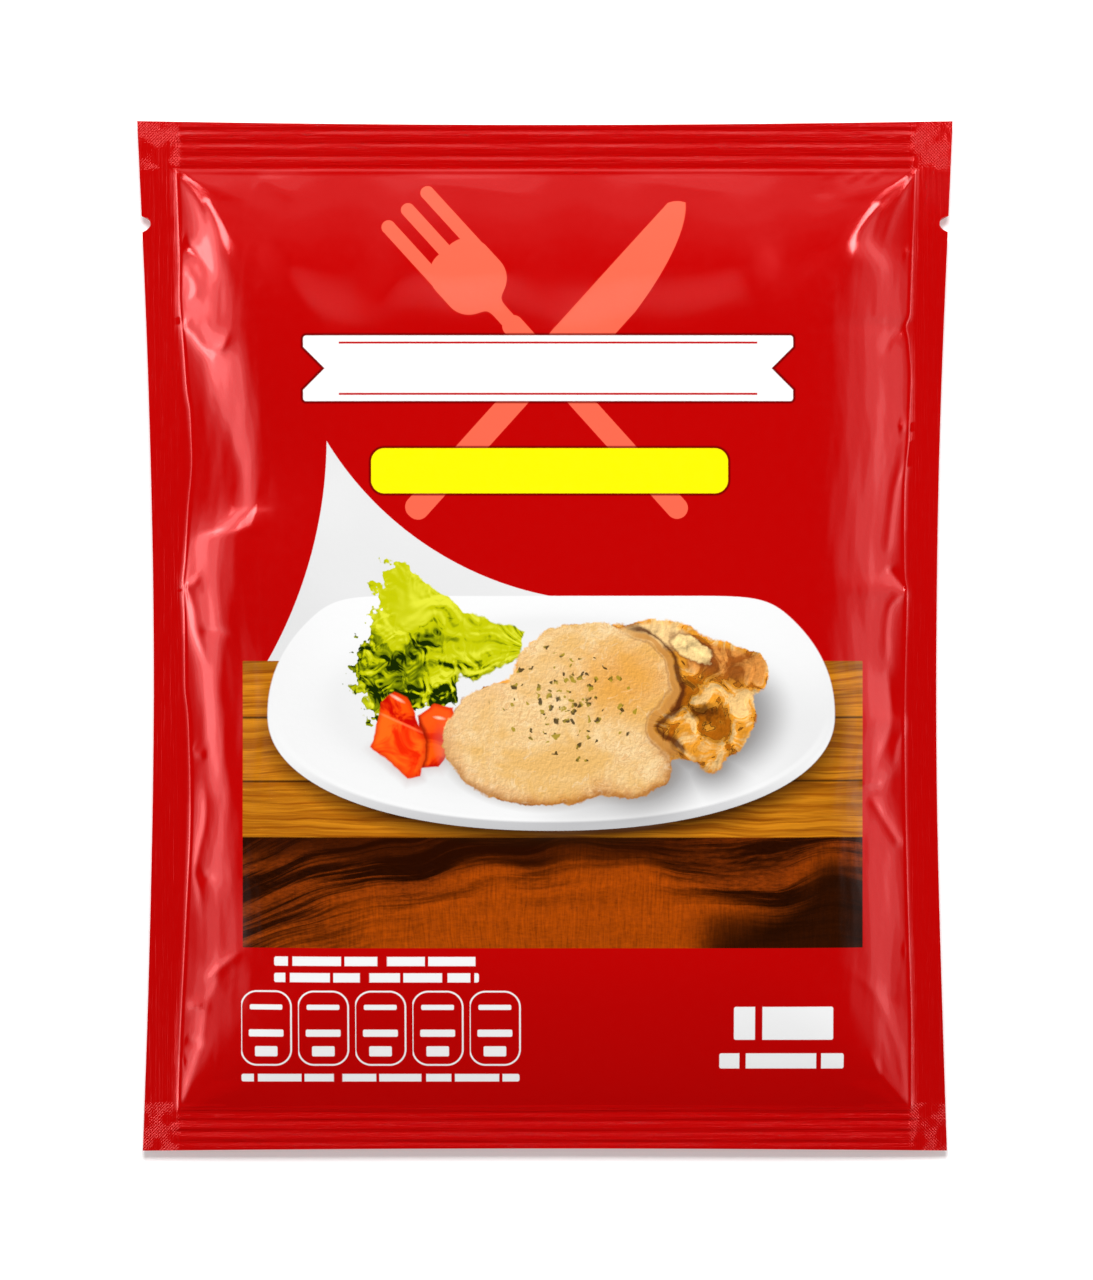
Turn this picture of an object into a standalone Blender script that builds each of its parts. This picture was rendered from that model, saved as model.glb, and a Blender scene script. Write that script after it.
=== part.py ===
"""Flat meat pouch: two printed films sealed on all four sides, lying on its back.

X runs across the pouch, +Y towards its top edge and +Z out of its printed front.
The origin is under the middle of the pouch, on the surface that it lies on.
"""

import math

import bmesh
import bpy
import numpy as np

MM = 0.001

# Outline of the films, which the filling draws in at the middle of each side
TOP_HALF_WIDTH = 80.0 * MM
BOTTOM_HALF_WIDTH = 78.9 * MM
HALF_HEIGHT = 101.0 * MM
SIDE_BOW = 2.7 * MM
TOP_BOW = 0.8 * MM
BOTTOM_BOW = 0.5 * MM

# Heat seals round the pouch
TOP_SEAL = 9.6 * MM
BOTTOM_SEAL = 7.7 * MM
SIDE_SEAL = 6.6 * MM
SEAL_THICKNESS = 0.5 * MM

# Pressed ribs along the top and bottom seals
TOP_RIB_PITCH = 2.5 * MM
BOTTOM_RIB_PITCH = 2.1 * MM
RIB_DEPTH = 0.18 * MM
RIB_END = 73.0 * MM
RIB_FADE = 1.5 * MM
SEAL_EDGE_FLAT = 0.8 * MM

# Tear notches in both side seals, cut as round bites
NOTCH_Y = 80.9 * MM
NOTCH_RADIUS = 1.4 * MM
NOTCH_INSET = 0.3 * MM

# The seal band droops a little at the corners and waves along the sides
SEAL_LEVEL = 5.0 * MM
CORNER_DROOP = 1.1 * MM
SEAL_WAVE = 0.5 * MM
SEAL_WAVE_LENGTH = 74.0 * MM

# The filled middle: its rise over the seals in front, its drop behind, and the slopes that lead there
FRONT_RISE = 9.2 * MM
BACK_DROP = 5.6 * MM
TOE_SLOPE = 0.24
LEFT_BAND_SLOPE = 0.95
RIGHT_BAND_SLOPE = 0.62
BAND_POWER = 1.8
GENTLE_REACH = 36.0 * MM
TOP_REACH = 34.0 * MM
BOTTOM_REACH = 38.0 * MM
CROWN_SOFTNESS = 9.0 * MM
CREASE_ROUNDING = 0.5 * MM
RIDGE_ROUNDING = 1.0 * MM
FULL_TOE = 8.0 * MM
EVENING_START = 4.0 * MM
EVENING_REACH = 12.0 * MM

# Knots of the two sides, in millimetres, each with its height up the pouch, how far the seam wanders
# in from its straight place, and the way in from the seam to the crease and to the brow
LEFT_KNOTS = (
    (-93.3, -0.2, 0.5, 3.6),
    (-81.0, -0.3, 4.2, 9.7),
    (-64.5, 0.0, 7.7, 15.5),
    (-47.0, 0.3, 7.6, 14.1),
    (-21.0, 0.2, 5.6, 13.4),
    (-7.3, -0.7, 5.3, 12.5),
    (1.4, -0.8, 2.5, 11.0),
    (9.8, -1.0, 0.6, 11.0),
    (18.8, -0.2, 2.1, 12.3),
    (21.5, 0.0, 7.3, 12.5),
    (25.3, 0.3, 11.3, 12.7),
    (37.5, 1.3, 7.9, 13.0),
    (54.0, 0.5, 5.0, 13.1),
    (61.8, 0.1, 0.6, 13.0),
    (68.8, 0.0, 2.3, 12.5),
    (79.4, 0.3, 1.8, 9.2),
    (91.6, 0.4, 0.6, 4.5),
)
RIGHT_KNOTS = (
    (-93.3, -0.1, 0.6, 6.5),
    (-72.5, -0.7, 1.8, 12.0),
    (-61.6, -0.7, 0.6, 11.7),
    (-40.8, -0.7, 1.8, 11.6),
    (-32.2, -0.6, 5.5, 12.0),
    (-20.4, -0.6, 2.0, 12.7),
    (-17.1, -0.6, 0.8, 12.9),
    (0.8, -0.9, 3.8, 14.0),
    (9.0, -1.0, 0.9, 14.3),
    (15.0, -0.4, 3.4, 14.6),
    (35.7, -0.6, 0.8, 15.5),
    (53.1, -0.4, 3.6, 15.4),
    (60.8, 0.6, 0.8, 15.3),
    (65.9, 0.0, 3.7, 15.1),
    (77.6, 0.0, 1.7, 12.5),
    (91.6, 0.1, 0.8, 6.7),
)

# Folds that cross the corners, in millimetres: path, height, half width
CORNER_FOLDS = (
    (((-72.7, 90.8), (-67.7, 85.5), (-64.8, 79.7), (-60.9, 69.9)), 0.8, 1.8),
    (((70.8, 90.4), (67.6, 87.5), (59.1, 75.1), (53.9, 68.9)), 0.8, 1.8),
    (((71.6, -92.7), (68.9, -83.5), (66.2, -75.1), (60.1, -65.0)), 0.5, 1.8),
)

# Grid of the films: steps in from a seam, and the steps between
SIDE_STEPS = tuple(step * MM for step in (0.8, 1.9, 3.2, 4.7, 6.5, 8.7, 11.3, 14.5, 19.0, 26.0))
END_STEPS = tuple(step * MM for step in (1.1, 2.4, 4.0, 6.0, 8.6, 11.8))
CENTRE_COLUMNS = 6
CENTRE_ROW_STEP = 2.8 * MM
SEAL_ROW_STEP = 0.7 * MM
NOTCH_SIDES = 24
SMOOTH_ANGLE = math.radians(40)

FILM_RED = (0.50, 0.0, 0.0, 1.0)
FILM_ROUGHNESS = 0.28


def clear_scene():
    for obj in list(bpy.data.objects):
        bpy.data.objects.remove(obj)


def half_width(y):
    """Half of the films' width at height y: a straight taper less a sine bow."""
    share = (HALF_HEIGHT - y) / (2 * HALF_HEIGHT)
    taper = TOP_HALF_WIDTH + (BOTTOM_HALF_WIDTH - TOP_HALF_WIDTH) * share
    return taper - SIDE_BOW * np.sin(math.pi * share)


def smooth(t):
    """Smoothstep: 3 t squared less 2 t cubed, held at 0 and 1 outside."""
    t = np.clip(t, 0, 1)
    return t * t * (3 - 2 * t)


def soft_minimum(a, b, softness):
    """The lower of a and b, with a parabola between them where they are within softness."""
    near = np.maximum(softness - np.abs(a - b), 0) / softness
    return np.minimum(a, b) - near**2 * softness / 4


class Side:
    """One side of the filling: its seam, crease and brow along the height, and the slope between."""

    def __init__(self, knots, band_slope):
        self.places, self.wander, self.creases, self.brows = np.array(knots).T * MM
        self.band_slope = band_slope
        self.gains = self.gained(self.creases, self.brows)

    def gained(self, crease, brow):
        """How high the film has climbed at its brow."""
        return TOE_SLOPE * crease + self.band_slope * (brow - crease) / BAND_POWER

    def averaged(self, values, y):
        """Mean of values along the height, with a bell curve for weights."""
        offsets = np.linspace(-2, 2, 9) * CROWN_SOFTNESS
        weights = np.exp(-0.5 * (offsets / CROWN_SOFTNESS) ** 2)
        near = [np.interp(y + offset, self.places, values) for offset in offsets]
        return sum(weight * value for weight, value in zip(weights, near)) / weights.sum()

    def seam_from_edge(self, y):
        return SIDE_SEAL + np.interp(y, self.places, self.wander)

    def rise(self, inward, y):
        """Height over the seal, at a distance inward from the seam.

        A toe of constant slope runs to the crease. Then comes a band that starts steep and levels out
        at the brow, and a gentle parabola up to the full rise. Past the brow the average of the side
        takes over, so that no fold runs on over the crown.
        """
        crease = np.interp(y, self.places, self.creases)
        brow = np.interp(y, self.places, self.brows)
        mean_gain = self.averaged(self.gains, y)
        inward = np.clip(inward, 0, None)
        toe = TOE_SLOPE * soft_minimum(inward, crease, CREASE_ROUNDING)
        along = np.clip((inward - crease) / (brow - crease), 0, 1)
        band = self.band_slope * (brow - crease) * (1 - (1 - along) ** BAND_POWER) / BAND_POWER
        to_go = 1 - np.clip((inward - self.averaged(self.creases, y)) / GENTLE_REACH, 0, 1)
        gentle = (FRONT_RISE - mean_gain) * (1 - to_go**2) * smooth(inward / FULL_TOE)
        evening = (mean_gain - self.gained(crease, brow)) * smooth((inward - EVENING_START) / EVENING_REACH)
        return toe + band + gentle + evening


LEFT_SIDE = Side(LEFT_KNOTS, LEFT_BAND_SLOPE)
RIGHT_SIDE = Side(RIGHT_KNOTS, RIGHT_BAND_SLOPE)


def filled(x, y, left, right):
    """Rise of one film over the seal.

    The two sides and the two ends each give a height; the lowest of them holds, rounded where two
    meet, which leaves ridges that run to the corners.
    """
    from_left = x + half_width(y) - left.seam_from_edge(y)
    from_right = half_width(y) - right.seam_from_edge(y) - x
    from_top = HALF_HEIGHT - TOP_SEAL - y
    from_bottom = y + HALF_HEIGHT - BOTTOM_SEAL
    across = soft_minimum(left.rise(from_left, y), right.rise(from_right, y), RIDGE_ROUNDING)
    top = FRONT_RISE * (1 - (1 - np.clip(from_top / TOP_REACH, 0, 1)) ** 2)
    bottom = FRONT_RISE * (1 - (1 - np.clip(from_bottom / BOTTOM_REACH, 0, 1)) ** 2)
    rise = soft_minimum(across, soft_minimum(top, bottom, RIDGE_ROUNDING), RIDGE_ROUNDING)
    return np.clip(rise, 0, None)


def fold(x, y, path, height, width):
    """A fold of the film: height falls off with the distance from a broken line, and at its ends."""
    lengths = [math.dist(a, b) for a, b in zip(path, path[1:])]
    nearest = np.full(x.shape, np.inf)
    share = np.zeros(x.shape)
    run = 0.0
    for (ax, ay), (bx, by), length in zip(path, path[1:], lengths):
        ux, uy = (bx - ax) / length, (by - ay) / length
        along = np.clip((x - ax) * ux + (y - ay) * uy, 0, length)
        away = np.hypot(x - ax - along * ux, y - ay - along * uy)
        closer = away < nearest
        nearest = np.where(closer, away, nearest)
        share = np.where(closer, (run + along) / sum(lengths), share)
        run += length
    return height * np.sin(math.pi * share) * np.exp(-((nearest / width) ** 2))


def corner_folds(x, y):
    total = np.zeros(x.shape)
    for path, height, width in CORNER_FOLDS:
        scaled = [(px * MM, py * MM) for px, py in path]
        total += fold(x, y, scaled, height * MM, width * MM)
    return total


def ribs(x, y):
    """Pressed waves along the top and bottom seals, which end short of the side seals."""
    from_top = HALF_HEIGHT - y
    from_bottom = HALF_HEIGHT + y
    ends = np.clip((RIB_END - np.abs(x)) / RIB_FADE, 0, 1)
    top = np.sin(2 * math.pi * from_top / TOP_RIB_PITCH)
    top = top * ((from_top > SEAL_EDGE_FLAT) & (from_top < TOP_SEAL - SEAL_EDGE_FLAT))
    bottom = np.sin(2 * math.pi * from_bottom / BOTTOM_RIB_PITCH)
    bottom = bottom * ((from_bottom > SEAL_EDGE_FLAT) & (from_bottom < BOTTOM_SEAL - SEAL_EDGE_FLAT))
    return RIB_DEPTH * ends * (top + bottom)


def seal_plane(x, y):
    """Height of the middle of the seal band: level, drooping at the corners, waving along the sides."""
    corner = (x / TOP_HALF_WIDTH) ** 4 * (y / HALF_HEIGHT) ** 4
    wave = (x / TOP_HALF_WIDTH) ** 4 * np.sin(2 * math.pi * y / SEAL_WAVE_LENGTH + np.sign(x))
    return SEAL_LEVEL - CORNER_DROOP * corner + SEAL_WAVE * wave


def front_height(x, y):
    rise = filled(x, y, LEFT_SIDE, RIGHT_SIDE)
    folds = corner_folds(x, y) * np.clip(rise / MM, 0, 1)
    return seal_plane(x, y) + SEAL_THICKNESS / 2 + ribs(x, y) + rise + folds


def back_height(x, y):
    """The back hangs below the seals, its sides turned end for end, and lies flat underneath."""
    rise = np.minimum(filled(x, -y, RIGHT_SIDE, LEFT_SIDE), BACK_DROP)
    return np.maximum(seal_plane(x, y) - SEAL_THICKNESS / 2 + ribs(x, y) - rise, 0)


def row_levels():
    """The y of each row of the grid, from the bottom edge to the top edge."""
    low_seam = -HALF_HEIGHT + BOTTOM_SEAL
    high_seam = HALF_HEIGHT - TOP_SEAL
    inner_low = low_seam + END_STEPS[-1]
    inner_high = high_seam - END_STEPS[-1]
    middle_rows = round((inner_high - inner_low) / CENTRE_ROW_STEP)
    return np.concatenate([
        np.linspace(-HALF_HEIGHT, low_seam, round(BOTTOM_SEAL / SEAL_ROW_STEP) + 1),
        low_seam + np.array(END_STEPS),
        np.linspace(inner_low, inner_high, middle_rows + 1)[1:-1],
        high_seam - np.array(END_STEPS)[::-1],
        np.linspace(high_seam, HALF_HEIGHT, round(TOP_SEAL / SEAL_ROW_STEP) + 1),
    ])


def column_places(y):
    """The x of each column of the grid at height y, from the left edge to the right edge."""
    edge = half_width(y)
    low = -edge + LEFT_SIDE.seam_from_edge(y)
    high = edge - RIGHT_SIDE.seam_from_edge(y)
    steps = np.array(SIDE_STEPS)
    middle = np.linspace(low + steps[-1], high - steps[-1], CENTRE_COLUMNS + 2)[1:-1]
    return np.concatenate([
        [-edge, (low - edge) / 2, low],
        low + steps,
        middle,
        high - steps[::-1],
        [high, (high + edge) / 2, edge],
    ])


def film_grid():
    """Two arrays of the grid's x and y; the end edges are drawn in towards their middles."""
    levels = row_levels()
    x = np.array([column_places(y) for y in levels])
    y = np.broadcast_to(levels[:, None], x.shape)
    bow = np.where(y > 0, TOP_BOW, BOTTOM_BOW)
    return x, y * (1 - bow / HALF_HEIGHT * (1 - (x / half_width(y)) ** 2))


def add_film(bm, x, y, z, faces_up):
    """Adds one film as a sheet of quads and returns its border edges."""
    points = [[bm.verts.new(place) for place in zip(*row)] for row in zip(x, y, z)]
    edges = []
    for lower, upper in zip(points, points[1:]):
        for column in range(len(lower) - 1):
            corners = [lower[column], lower[column + 1], upper[column + 1], upper[column]]
            face = bm.faces.new(corners if faces_up else corners[::-1])
            edges.extend(face.edges)
    return [edge for edge in set(edges) if edge.is_boundary]


def film_material():
    material = bpy.data.materials.new("red_film")
    material.use_nodes = True
    shader = material.node_tree.nodes["Principled BSDF"]
    shader.inputs["Base Color"].default_value = FILM_RED
    shader.inputs["Roughness"].default_value = FILM_ROUGHNESS
    shader.inputs["Metallic"].default_value = 0.0
    return material


def notch_cutter(side):
    """A round bar through the side seal that bites a tear notch out of its edge."""
    centre = side * (float(half_width(NOTCH_Y)) - NOTCH_INSET)
    bpy.ops.mesh.primitive_cylinder_add(
        vertices=NOTCH_SIDES,
        radius=NOTCH_RADIUS,
        depth=4 * SEAL_LEVEL,
        location=(centre, NOTCH_Y, SEAL_LEVEL),
    )
    cutter = bpy.context.object
    cutter.name = "notch_cutter_left" if side < 0 else "notch_cutter_right"
    cutter.hide_render = True
    cutter.display_type = "WIRE"
    return cutter


def build_pouch():
    x, y = film_grid()
    bm = bmesh.new()
    front = add_film(bm, x, y, front_height(x, y), faces_up=True)
    back = add_film(bm, x, y, back_height(x, y), faces_up=False)
    bmesh.ops.bridge_loops(bm, edges=front + back)
    bmesh.ops.recalc_face_normals(bm, faces=bm.faces)
    mesh = bpy.data.meshes.new("pouch")
    bm.to_mesh(mesh)
    bm.free()
    mesh.materials.append(film_material())
    mesh.shade_smooth()
    mesh.set_sharp_from_angle(angle=SMOOTH_ANGLE)
    pouch = bpy.data.objects.new("pouch", mesh)
    bpy.context.scene.collection.objects.link(pouch)
    for side in (-1, 1):
        cut = pouch.modifiers.new("tear_notch", "BOOLEAN")
        cut.operation = "DIFFERENCE"
        cut.solver = "EXACT"
        cut.object = notch_cutter(side)
    return pouch


def main():
    clear_scene()
    build_pouch()


main()
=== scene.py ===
"""Looks of the flat meat pouch: its creased film, printed front, light and camera.

Lengths are in millimetres and MM turns them to metres where a mesh, lamp or camera is made.
X runs across the pouch, +Y towards its top edge and +Z out of its printed front.
"""

import math

import bpy
import numpy as np
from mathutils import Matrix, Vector


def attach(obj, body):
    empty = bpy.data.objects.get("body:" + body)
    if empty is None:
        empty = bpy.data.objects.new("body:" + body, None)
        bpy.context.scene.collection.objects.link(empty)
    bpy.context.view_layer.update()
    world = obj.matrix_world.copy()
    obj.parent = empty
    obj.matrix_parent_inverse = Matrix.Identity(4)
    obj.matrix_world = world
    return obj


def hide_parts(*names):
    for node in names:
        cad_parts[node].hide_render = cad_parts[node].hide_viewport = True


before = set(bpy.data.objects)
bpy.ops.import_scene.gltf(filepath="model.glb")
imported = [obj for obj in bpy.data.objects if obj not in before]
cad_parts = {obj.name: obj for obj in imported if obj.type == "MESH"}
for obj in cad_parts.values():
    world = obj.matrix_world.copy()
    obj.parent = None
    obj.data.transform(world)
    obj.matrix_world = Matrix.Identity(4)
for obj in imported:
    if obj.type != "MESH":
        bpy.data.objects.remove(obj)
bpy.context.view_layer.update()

MM = 0.001

# Outline of the films, as the solid has it
TOP_HALF_WIDTH = 80.0
BOTTOM_HALF_WIDTH = 78.9
HALF_HEIGHT = 101.0
SIDE_BOW = 2.7
TOP_BOW = 0.8
BOTTOM_BOW = 0.5
TOP_SEAL = 9.6
BOTTOM_SEAL = 7.7
SIDE_SEAL = 6.6
FILM_THICKNESS = 0.3

# Pressed ribs of the end seals
TOP_RIB_PITCH = 2.5
BOTTOM_RIB_PITCH = 2.1
RIB_DEPTH = 0.145
RIB_END = 73.0
RIB_FADE = 1.2
SEAL_EDGE_FLAT = 0.8
RIB_OVERTONE = 0.4
# Slow sines across the pouch: share of the depth, turns for each millimetre and for each rib
RIB_UNEVENNESS = ((0.35, 0.17, 1.9), (0.25, 0.41, -2.7), (0.2, 0.93, 4.1))

# Tear notches
NOTCH_Y = 80.9
NOTCH_RADIUS = 1.4
NOTCH_INSET = 0.3

# Level of the seal band, its droop at the corners and its wave along the sides
SEAL_LEVEL = 5.0
CORNER_DROOP = 1.1
SEAL_WAVE = 0.5
SEAL_WAVE_LENGTH = 74.0

# The filling's rise over the seals, and the reach of the slopes that lead up to it
FRONT_RISE = 9.25
GENTLE_START = 4.0
GENTLE_TURN = 6.0
GENTLE_REACH = 34.0
TOP_REACH = 34.0
BOTTOM_REACH = 38.0
TOP_POWER = 1.75
BAND_POWER = 1.8
BEAD_HEIGHT = 0.17
BEAD_PLACE = 0.32
BEAD_WIDTH = 0.3

# Points (height up the pouch, distance) of each side's lines.
# Seam: how far the filling's border wanders in from its straight place.
LEFT_SEAM = (
    (-93.3, -0.2), (-84.5, -0.3), (-54.5, 0.2), (-36.5, 0.6), (-16.5, 0.0), (-9.4, -0.7), (4.0, -0.8),
    (9.8, -1.0), (14.9, -0.5), (24.7, 0.3), (35.3, 1.3), (43.9, 1.2), (48.0, 0.7), (57.5, 0.3),
    (65.9, -0.1), (75.5, 0.3), (91.6, 0.4),
)
RIGHT_SEAM = (
    (-93.3, -0.1), (-72.5, -0.7), (-16.5, -0.6), (8.6, -1.0), (12.0, -0.5), (29.0, -0.2), (38.2, -0.7),
    (49.6, -0.8), (58.2, 0.0), (60.8, 0.6), (63.0, -0.1), (78.2, 0.0), (91.4, 0.1),
)
# Crease: how far in from the seam the film turns from lying low to climbing steeply.
LEFT_CREASE = (
    (-93.3, 0.5), (-81.2, 4.2), (-71.8, 5.5), (-64.5, 7.7), (-57.6, 7.4), (-47.1, 7.6), (-33.9, 5.4),
    (-21.0, 3.8), (-7.3, 3.8), (-2.7, 3.5), (1.4, 2.7), (4.9, 2.0), (9.8, 0.5), (14.9, 1.6), (18.8, 2.1),
    (20.2, 4.0), (20.8, 6.3), (22.7, 8.2), (24.1, 9.6), (25.3, 11.5), (28.6, 11.2), (37.5, 8.7),
    (46.3, 6.2), (54.1, 5.0), (56.7, 4.4), (59.6, 2.7), (61.8, 0.4), (65.3, 1.5), (68.8, 2.3),
    (73.3, 3.6), (79.6, 5.4), (86.0, 3.4), (91.6, 0.6),
)
RIGHT_CREASE = (
    (-93.3, 0.6), (-73.3, 1.8), (-61.6, 0.6), (-53.7, 1.8), (-40.8, 1.8), (-35.9, 4.2), (-32.2, 5.5),
    (-29.2, 4.9), (-26.3, 2.4), (-20.4, 2.0), (-17.1, 0.8), (-14.5, 2.5), (-8.6, 3.7), (0.8, 3.8),
    (6.1, 2.9), (9.0, 0.9), (12.9, 3.3), (18.2, 3.4), (28.8, 2.2), (35.7, 0.8), (41.0, 0.8), (46.3, 2.6),
    (53.1, 3.6), (57.1, 2.6), (60.8, 0.8), (65.9, 3.7), (71.5, 4.4), (78.0, 8.4), (84.5, 5.6), (91.6, 0.8),
)
# Brow: how far in the steep band has levelled out.
LEFT_BROW = (
    (-93.3, 3.6), (-81.2, 9.7), (-71.8, 13.9), (-64.5, 15.5), (-47.1, 15.6), (-36.0, 11.0), (-21.0, 7.4),
    (-5.0, 8.0), (7.8, 10.8), (18.8, 13.2), (25.3, 13.7), (46.3, 15.2), (60.0, 15.6), (70.4, 14.0),
    (79.4, 10.0), (86.0, 6.8), (91.6, 4.0),
)
RIGHT_BROW = (
    (-93.3, 7.5), (-71.4, 14.1), (-51.8, 14.4), (-32.2, 15.0), (-16.5, 16.9), (7.1, 18.3), (42.4, 18.7),
    (65.9, 17.1), (77.6, 13.0), (85.0, 9.0), (91.6, 4.0),
)
# Slopes, by height up the pouch: of the toe from seam to crease, of the band inside the crease at its
# start, and the width over which the one turns into the other
LEFT_SLOPES = (
    (-93.3, 0.34, 0.26, 0.8), (-79.0, 0.28, 0.24, 0.8), (-61.6, 0.27, 0.38, 0.8), (-42.0, 0.38, 0.38, 1.6),
    (-20.0, 0.19, 0.62, 0.6), (-4.7, 0.26, 0.58, 0.7), (11.0, 0.56, 0.56, 0.8), (20.8, 0.34, 0.66, 0.5),
    (26.7, 0.22, 0.44, 0.4), (36.5, 0.22, 0.58, 0.7), (46.0, 0.22, 0.66, 1.6), (57.0, 0.28, 0.80, 1.2),
    (63.0, 0.44, 0.62, 1.0), (71.8, 0.42, 0.66, 1.0), (79.6, 0.25, 0.88, 1.6), (86.0, 0.22, 0.90, 1.2),
    (91.6, 0.30, 0.9, 0.6),
)
RIGHT_SLOPES = (
    (-93.3, 0.30, 0.28, 1.0), (-68.0, 0.30, 0.30, 1.0), (-52.0, 0.28, 0.44, 1.0), (-36.0, 0.22, 0.46, 0.8),
    (-8.0, 0.22, 0.54, 1.0), (14.0, 0.26, 0.56, 1.2), (40.0, 0.30, 0.52, 1.2), (60.0, 0.36, 0.46, 1.2),
    (70.0, 0.34, 0.50, 1.2), (78.0, 0.20, 0.86, 1.2), (85.5, 0.22, 0.86, 1.0), (91.6, 0.44, 0.50, 0.8),
)
LINE_STEP = 0.1
CREASE_SOFTNESS = 0.35
BROW_SOFTNESS = 2.0
CROWN_SOFTNESS = 9.0
LEAST_TOE = 0.3
LEAST_BAND = 1.2
FULL_TOE = 8.0
EVENING_START = 3.0
EVENING_REACH = 12.0
RIDGE_ROUNDING = 1.0
# Rounding of the ridges that run to the corners, at the seal and at the crown: least, and its growth
SEAL_ROUNDING = (0.3, 1.1)
CROWN_ROUNDING = (0.8, 0.4)
# Slow sines in how far in the top slope reaches: share, turns for each millimetre and start
TOP_REACH_WAVES = ((0.07, 0.13, 0.6), (0.06, 0.29, 0.0))

# Folds over the slopes: path, height (a dent is negative), width on the left of the path and on its
# right, and the shares of the length over which it grows and dies away
LEFT_FOLDS = (
    (((-71.0, 78.0), (-67.1, 73.7), (-64.1, 68.6)), -0.5, 1.0, 0.8, 0.2, 0.5),
    (((-71.0, 73.1), (-68.6, 69.2), (-68.6, 66.7), (-70.6, 65.3)), 0.35, 0.8, 0.7, 0.3, 0.3),
    (((-72.0, 77.5), (-70.4, 77.2)), 0.45, 0.9, 0.9, 0.0, 0.4),
    (((-71.6, 61.4), (-69.0, 59.6), (-66.7, 56.7), (-64.7, 55.7), (-62.7, 56.9), (-61.6, 60.8)),
     0.55, 1.4, 0.7, 0.1, 0.3),
    (((-71.0, 9.8), (-68.8, 10.2), (-67.5, 12.7)), 0.4, 0.7, 0.8, 0.0, 0.5),
    (((-71.0, 9.6), (-69.8, 8.4), (-68.8, 4.9), (-68.4, 1.4), (-67.1, -2.7), (-65.3, -7.3)),
     0.4, 1.0, 0.7, 0.05, 0.4),
    (((-68.2, 1.2), (-64.5, 0.8), (-60.8, 0.4)), -0.3, 0.7, 0.7, 0.3, 0.5),
    (((-69.4, -22.4), (-66.1, -23.9)), 0.4, 0.9, 0.7, 0.1, 0.5),
    (((-66.7, -27.5), (-66.5, -35.7), (-68.4, -45.3), (-67.6, -50.2), (-67.1, -55.7)),
     0.35, 0.9, 0.7, 0.2, 0.3),
    (((-66.9, -46.7), (-66.1, -47.5)), -0.45, 1.5, 1.5, 0.0, 0.0),
    (((-67.1, -68.4), (-62.9, -64.5), (-58.0, -61.0)), 0.45, 1.0, 1.2, 0.3, 0.4),
    (((-62.9, -64.5), (-65.9, -71.8), (-67.6, -81.2), (-71.4, -92.9)), 0.2, 1.4, 0.9, 0.2, 0.1),
    (((-69.2, -72.4), (-67.8, -72.4)), 0.35, 0.8, 0.8, 0.0, 0.0),
    (((-70.6, -79.2), (-66.5, -80.4)), -0.25, 0.6, 0.6, 0.1, 0.4),
    (((-72.0, -83.5), (-70.4, -83.3)), 0.35, 0.8, 0.8, 0.0, 0.3),
)
RIGHT_FOLDS = (
    (((72.2, 90.4), (68.2, 82.5), (65.9, 75.1), (65.3, 73.1)), 0.2, 0.8, 0.9, 0.3, 0.4),
    (((72.0, 74.9), (70.2, 75.1)), 0.4, 0.8, 0.8, 0.0, 0.3),
    (((71.0, 60.8), (67.6, 58.0), (65.7, 53.7)), -0.35, 1.3, 1.3, 0.0, 0.6),
    (((71.2, 41.0), (69.2, 41.0)), 0.4, 0.8, 0.8, 0.0, 0.4),
    (((71.4, 39.2), (71.0, 35.7), (68.6, 28.8), (67.3, 18.2), (66.9, 14.1)), 0.4, 0.8, 1.0, 0.1, 0.2),
    (((66.9, 13.7), (71.0, 9.0)), -0.35, 0.7, 0.7, 0.2, 0.1),
    (((71.0, 8.8), (67.8, 6.1), (66.9, 0.8), (66.9, -8.6)), 0.4, 0.8, 0.9, 0.05, 0.4),
    (((71.0, -17.1), (69.0, -21.4), (68.2, -27.5)), 0.4, 0.7, 0.8, 0.0, 0.5),
    (((66.9, -4.7), (67.8, -17.6), (63.9, -27.5)), -0.35, 1.3, 1.3, 0.3, 0.3),
    (((62.5, -28.8), (64.9, -28.8)), 0.4, 0.8, 0.8, 0.0, 0.0),
    (((63.3, -30.8), (66.3, -35.9), (69.6, -40.8), (70.8, -40.8)), 0.5, 1.2, 0.9, 0.2, 0.2),
    (((71.8, -61.6), (70.0, -61.6)), 0.4, 0.8, 0.8, 0.0, 0.3),
    (((57.8, -64.3), (63.5, -68.6), (66.3, -73.3), (68.8, -80.2), (70.2, -86.9), (72.0, -92.7)),
     0.2, 1.3, 1.3, 0.2, 0.1),
    (((62.7, -80.2), (65.3, -85.3), (68.8, -89.6), (72.0, -92.9)), 0.35, 0.8, 0.8, 0.3, 0.1),
    (((66.9, -70.8), (67.6, -71.2)), -0.2, 1.6, 1.6, 0.0, 0.0),
)
TOP_FOLDS = (
    (((-56.9, 90.2), (-52.0, 87.8), (-47.1, 84.5)), 0.3, 2.6, 2.0, 0.2, 0.5),
    (((-28.4, 89.8), (-14.7, 87.8), (2.9, 85.5)), 0.3, 4.0, 3.0, 0.3, 0.5),
    (((14.7, 90.4), (30.4, 87.5), (42.2, 87.8)), 0.25, 4.0, 3.0, 0.3, 0.5),
    (((55.5, 91.6), (56.7, 89.8)), 0.3, 0.9, 0.9, 0.0, 0.5),
    (((60.6, 91.4), (61.8, 89.6)), 0.3, 0.9, 0.9, 0.0, 0.5),
    (((64.3, 91.4), (65.5, 89.6)), 0.3, 0.9, 0.9, 0.0, 0.5),
    (((53.7, 86.9), (54.9, 86.9)), -0.25, 2.4, 2.4, 0.0, 0.0),
)
FOLD_SCALE = 0.9
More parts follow.
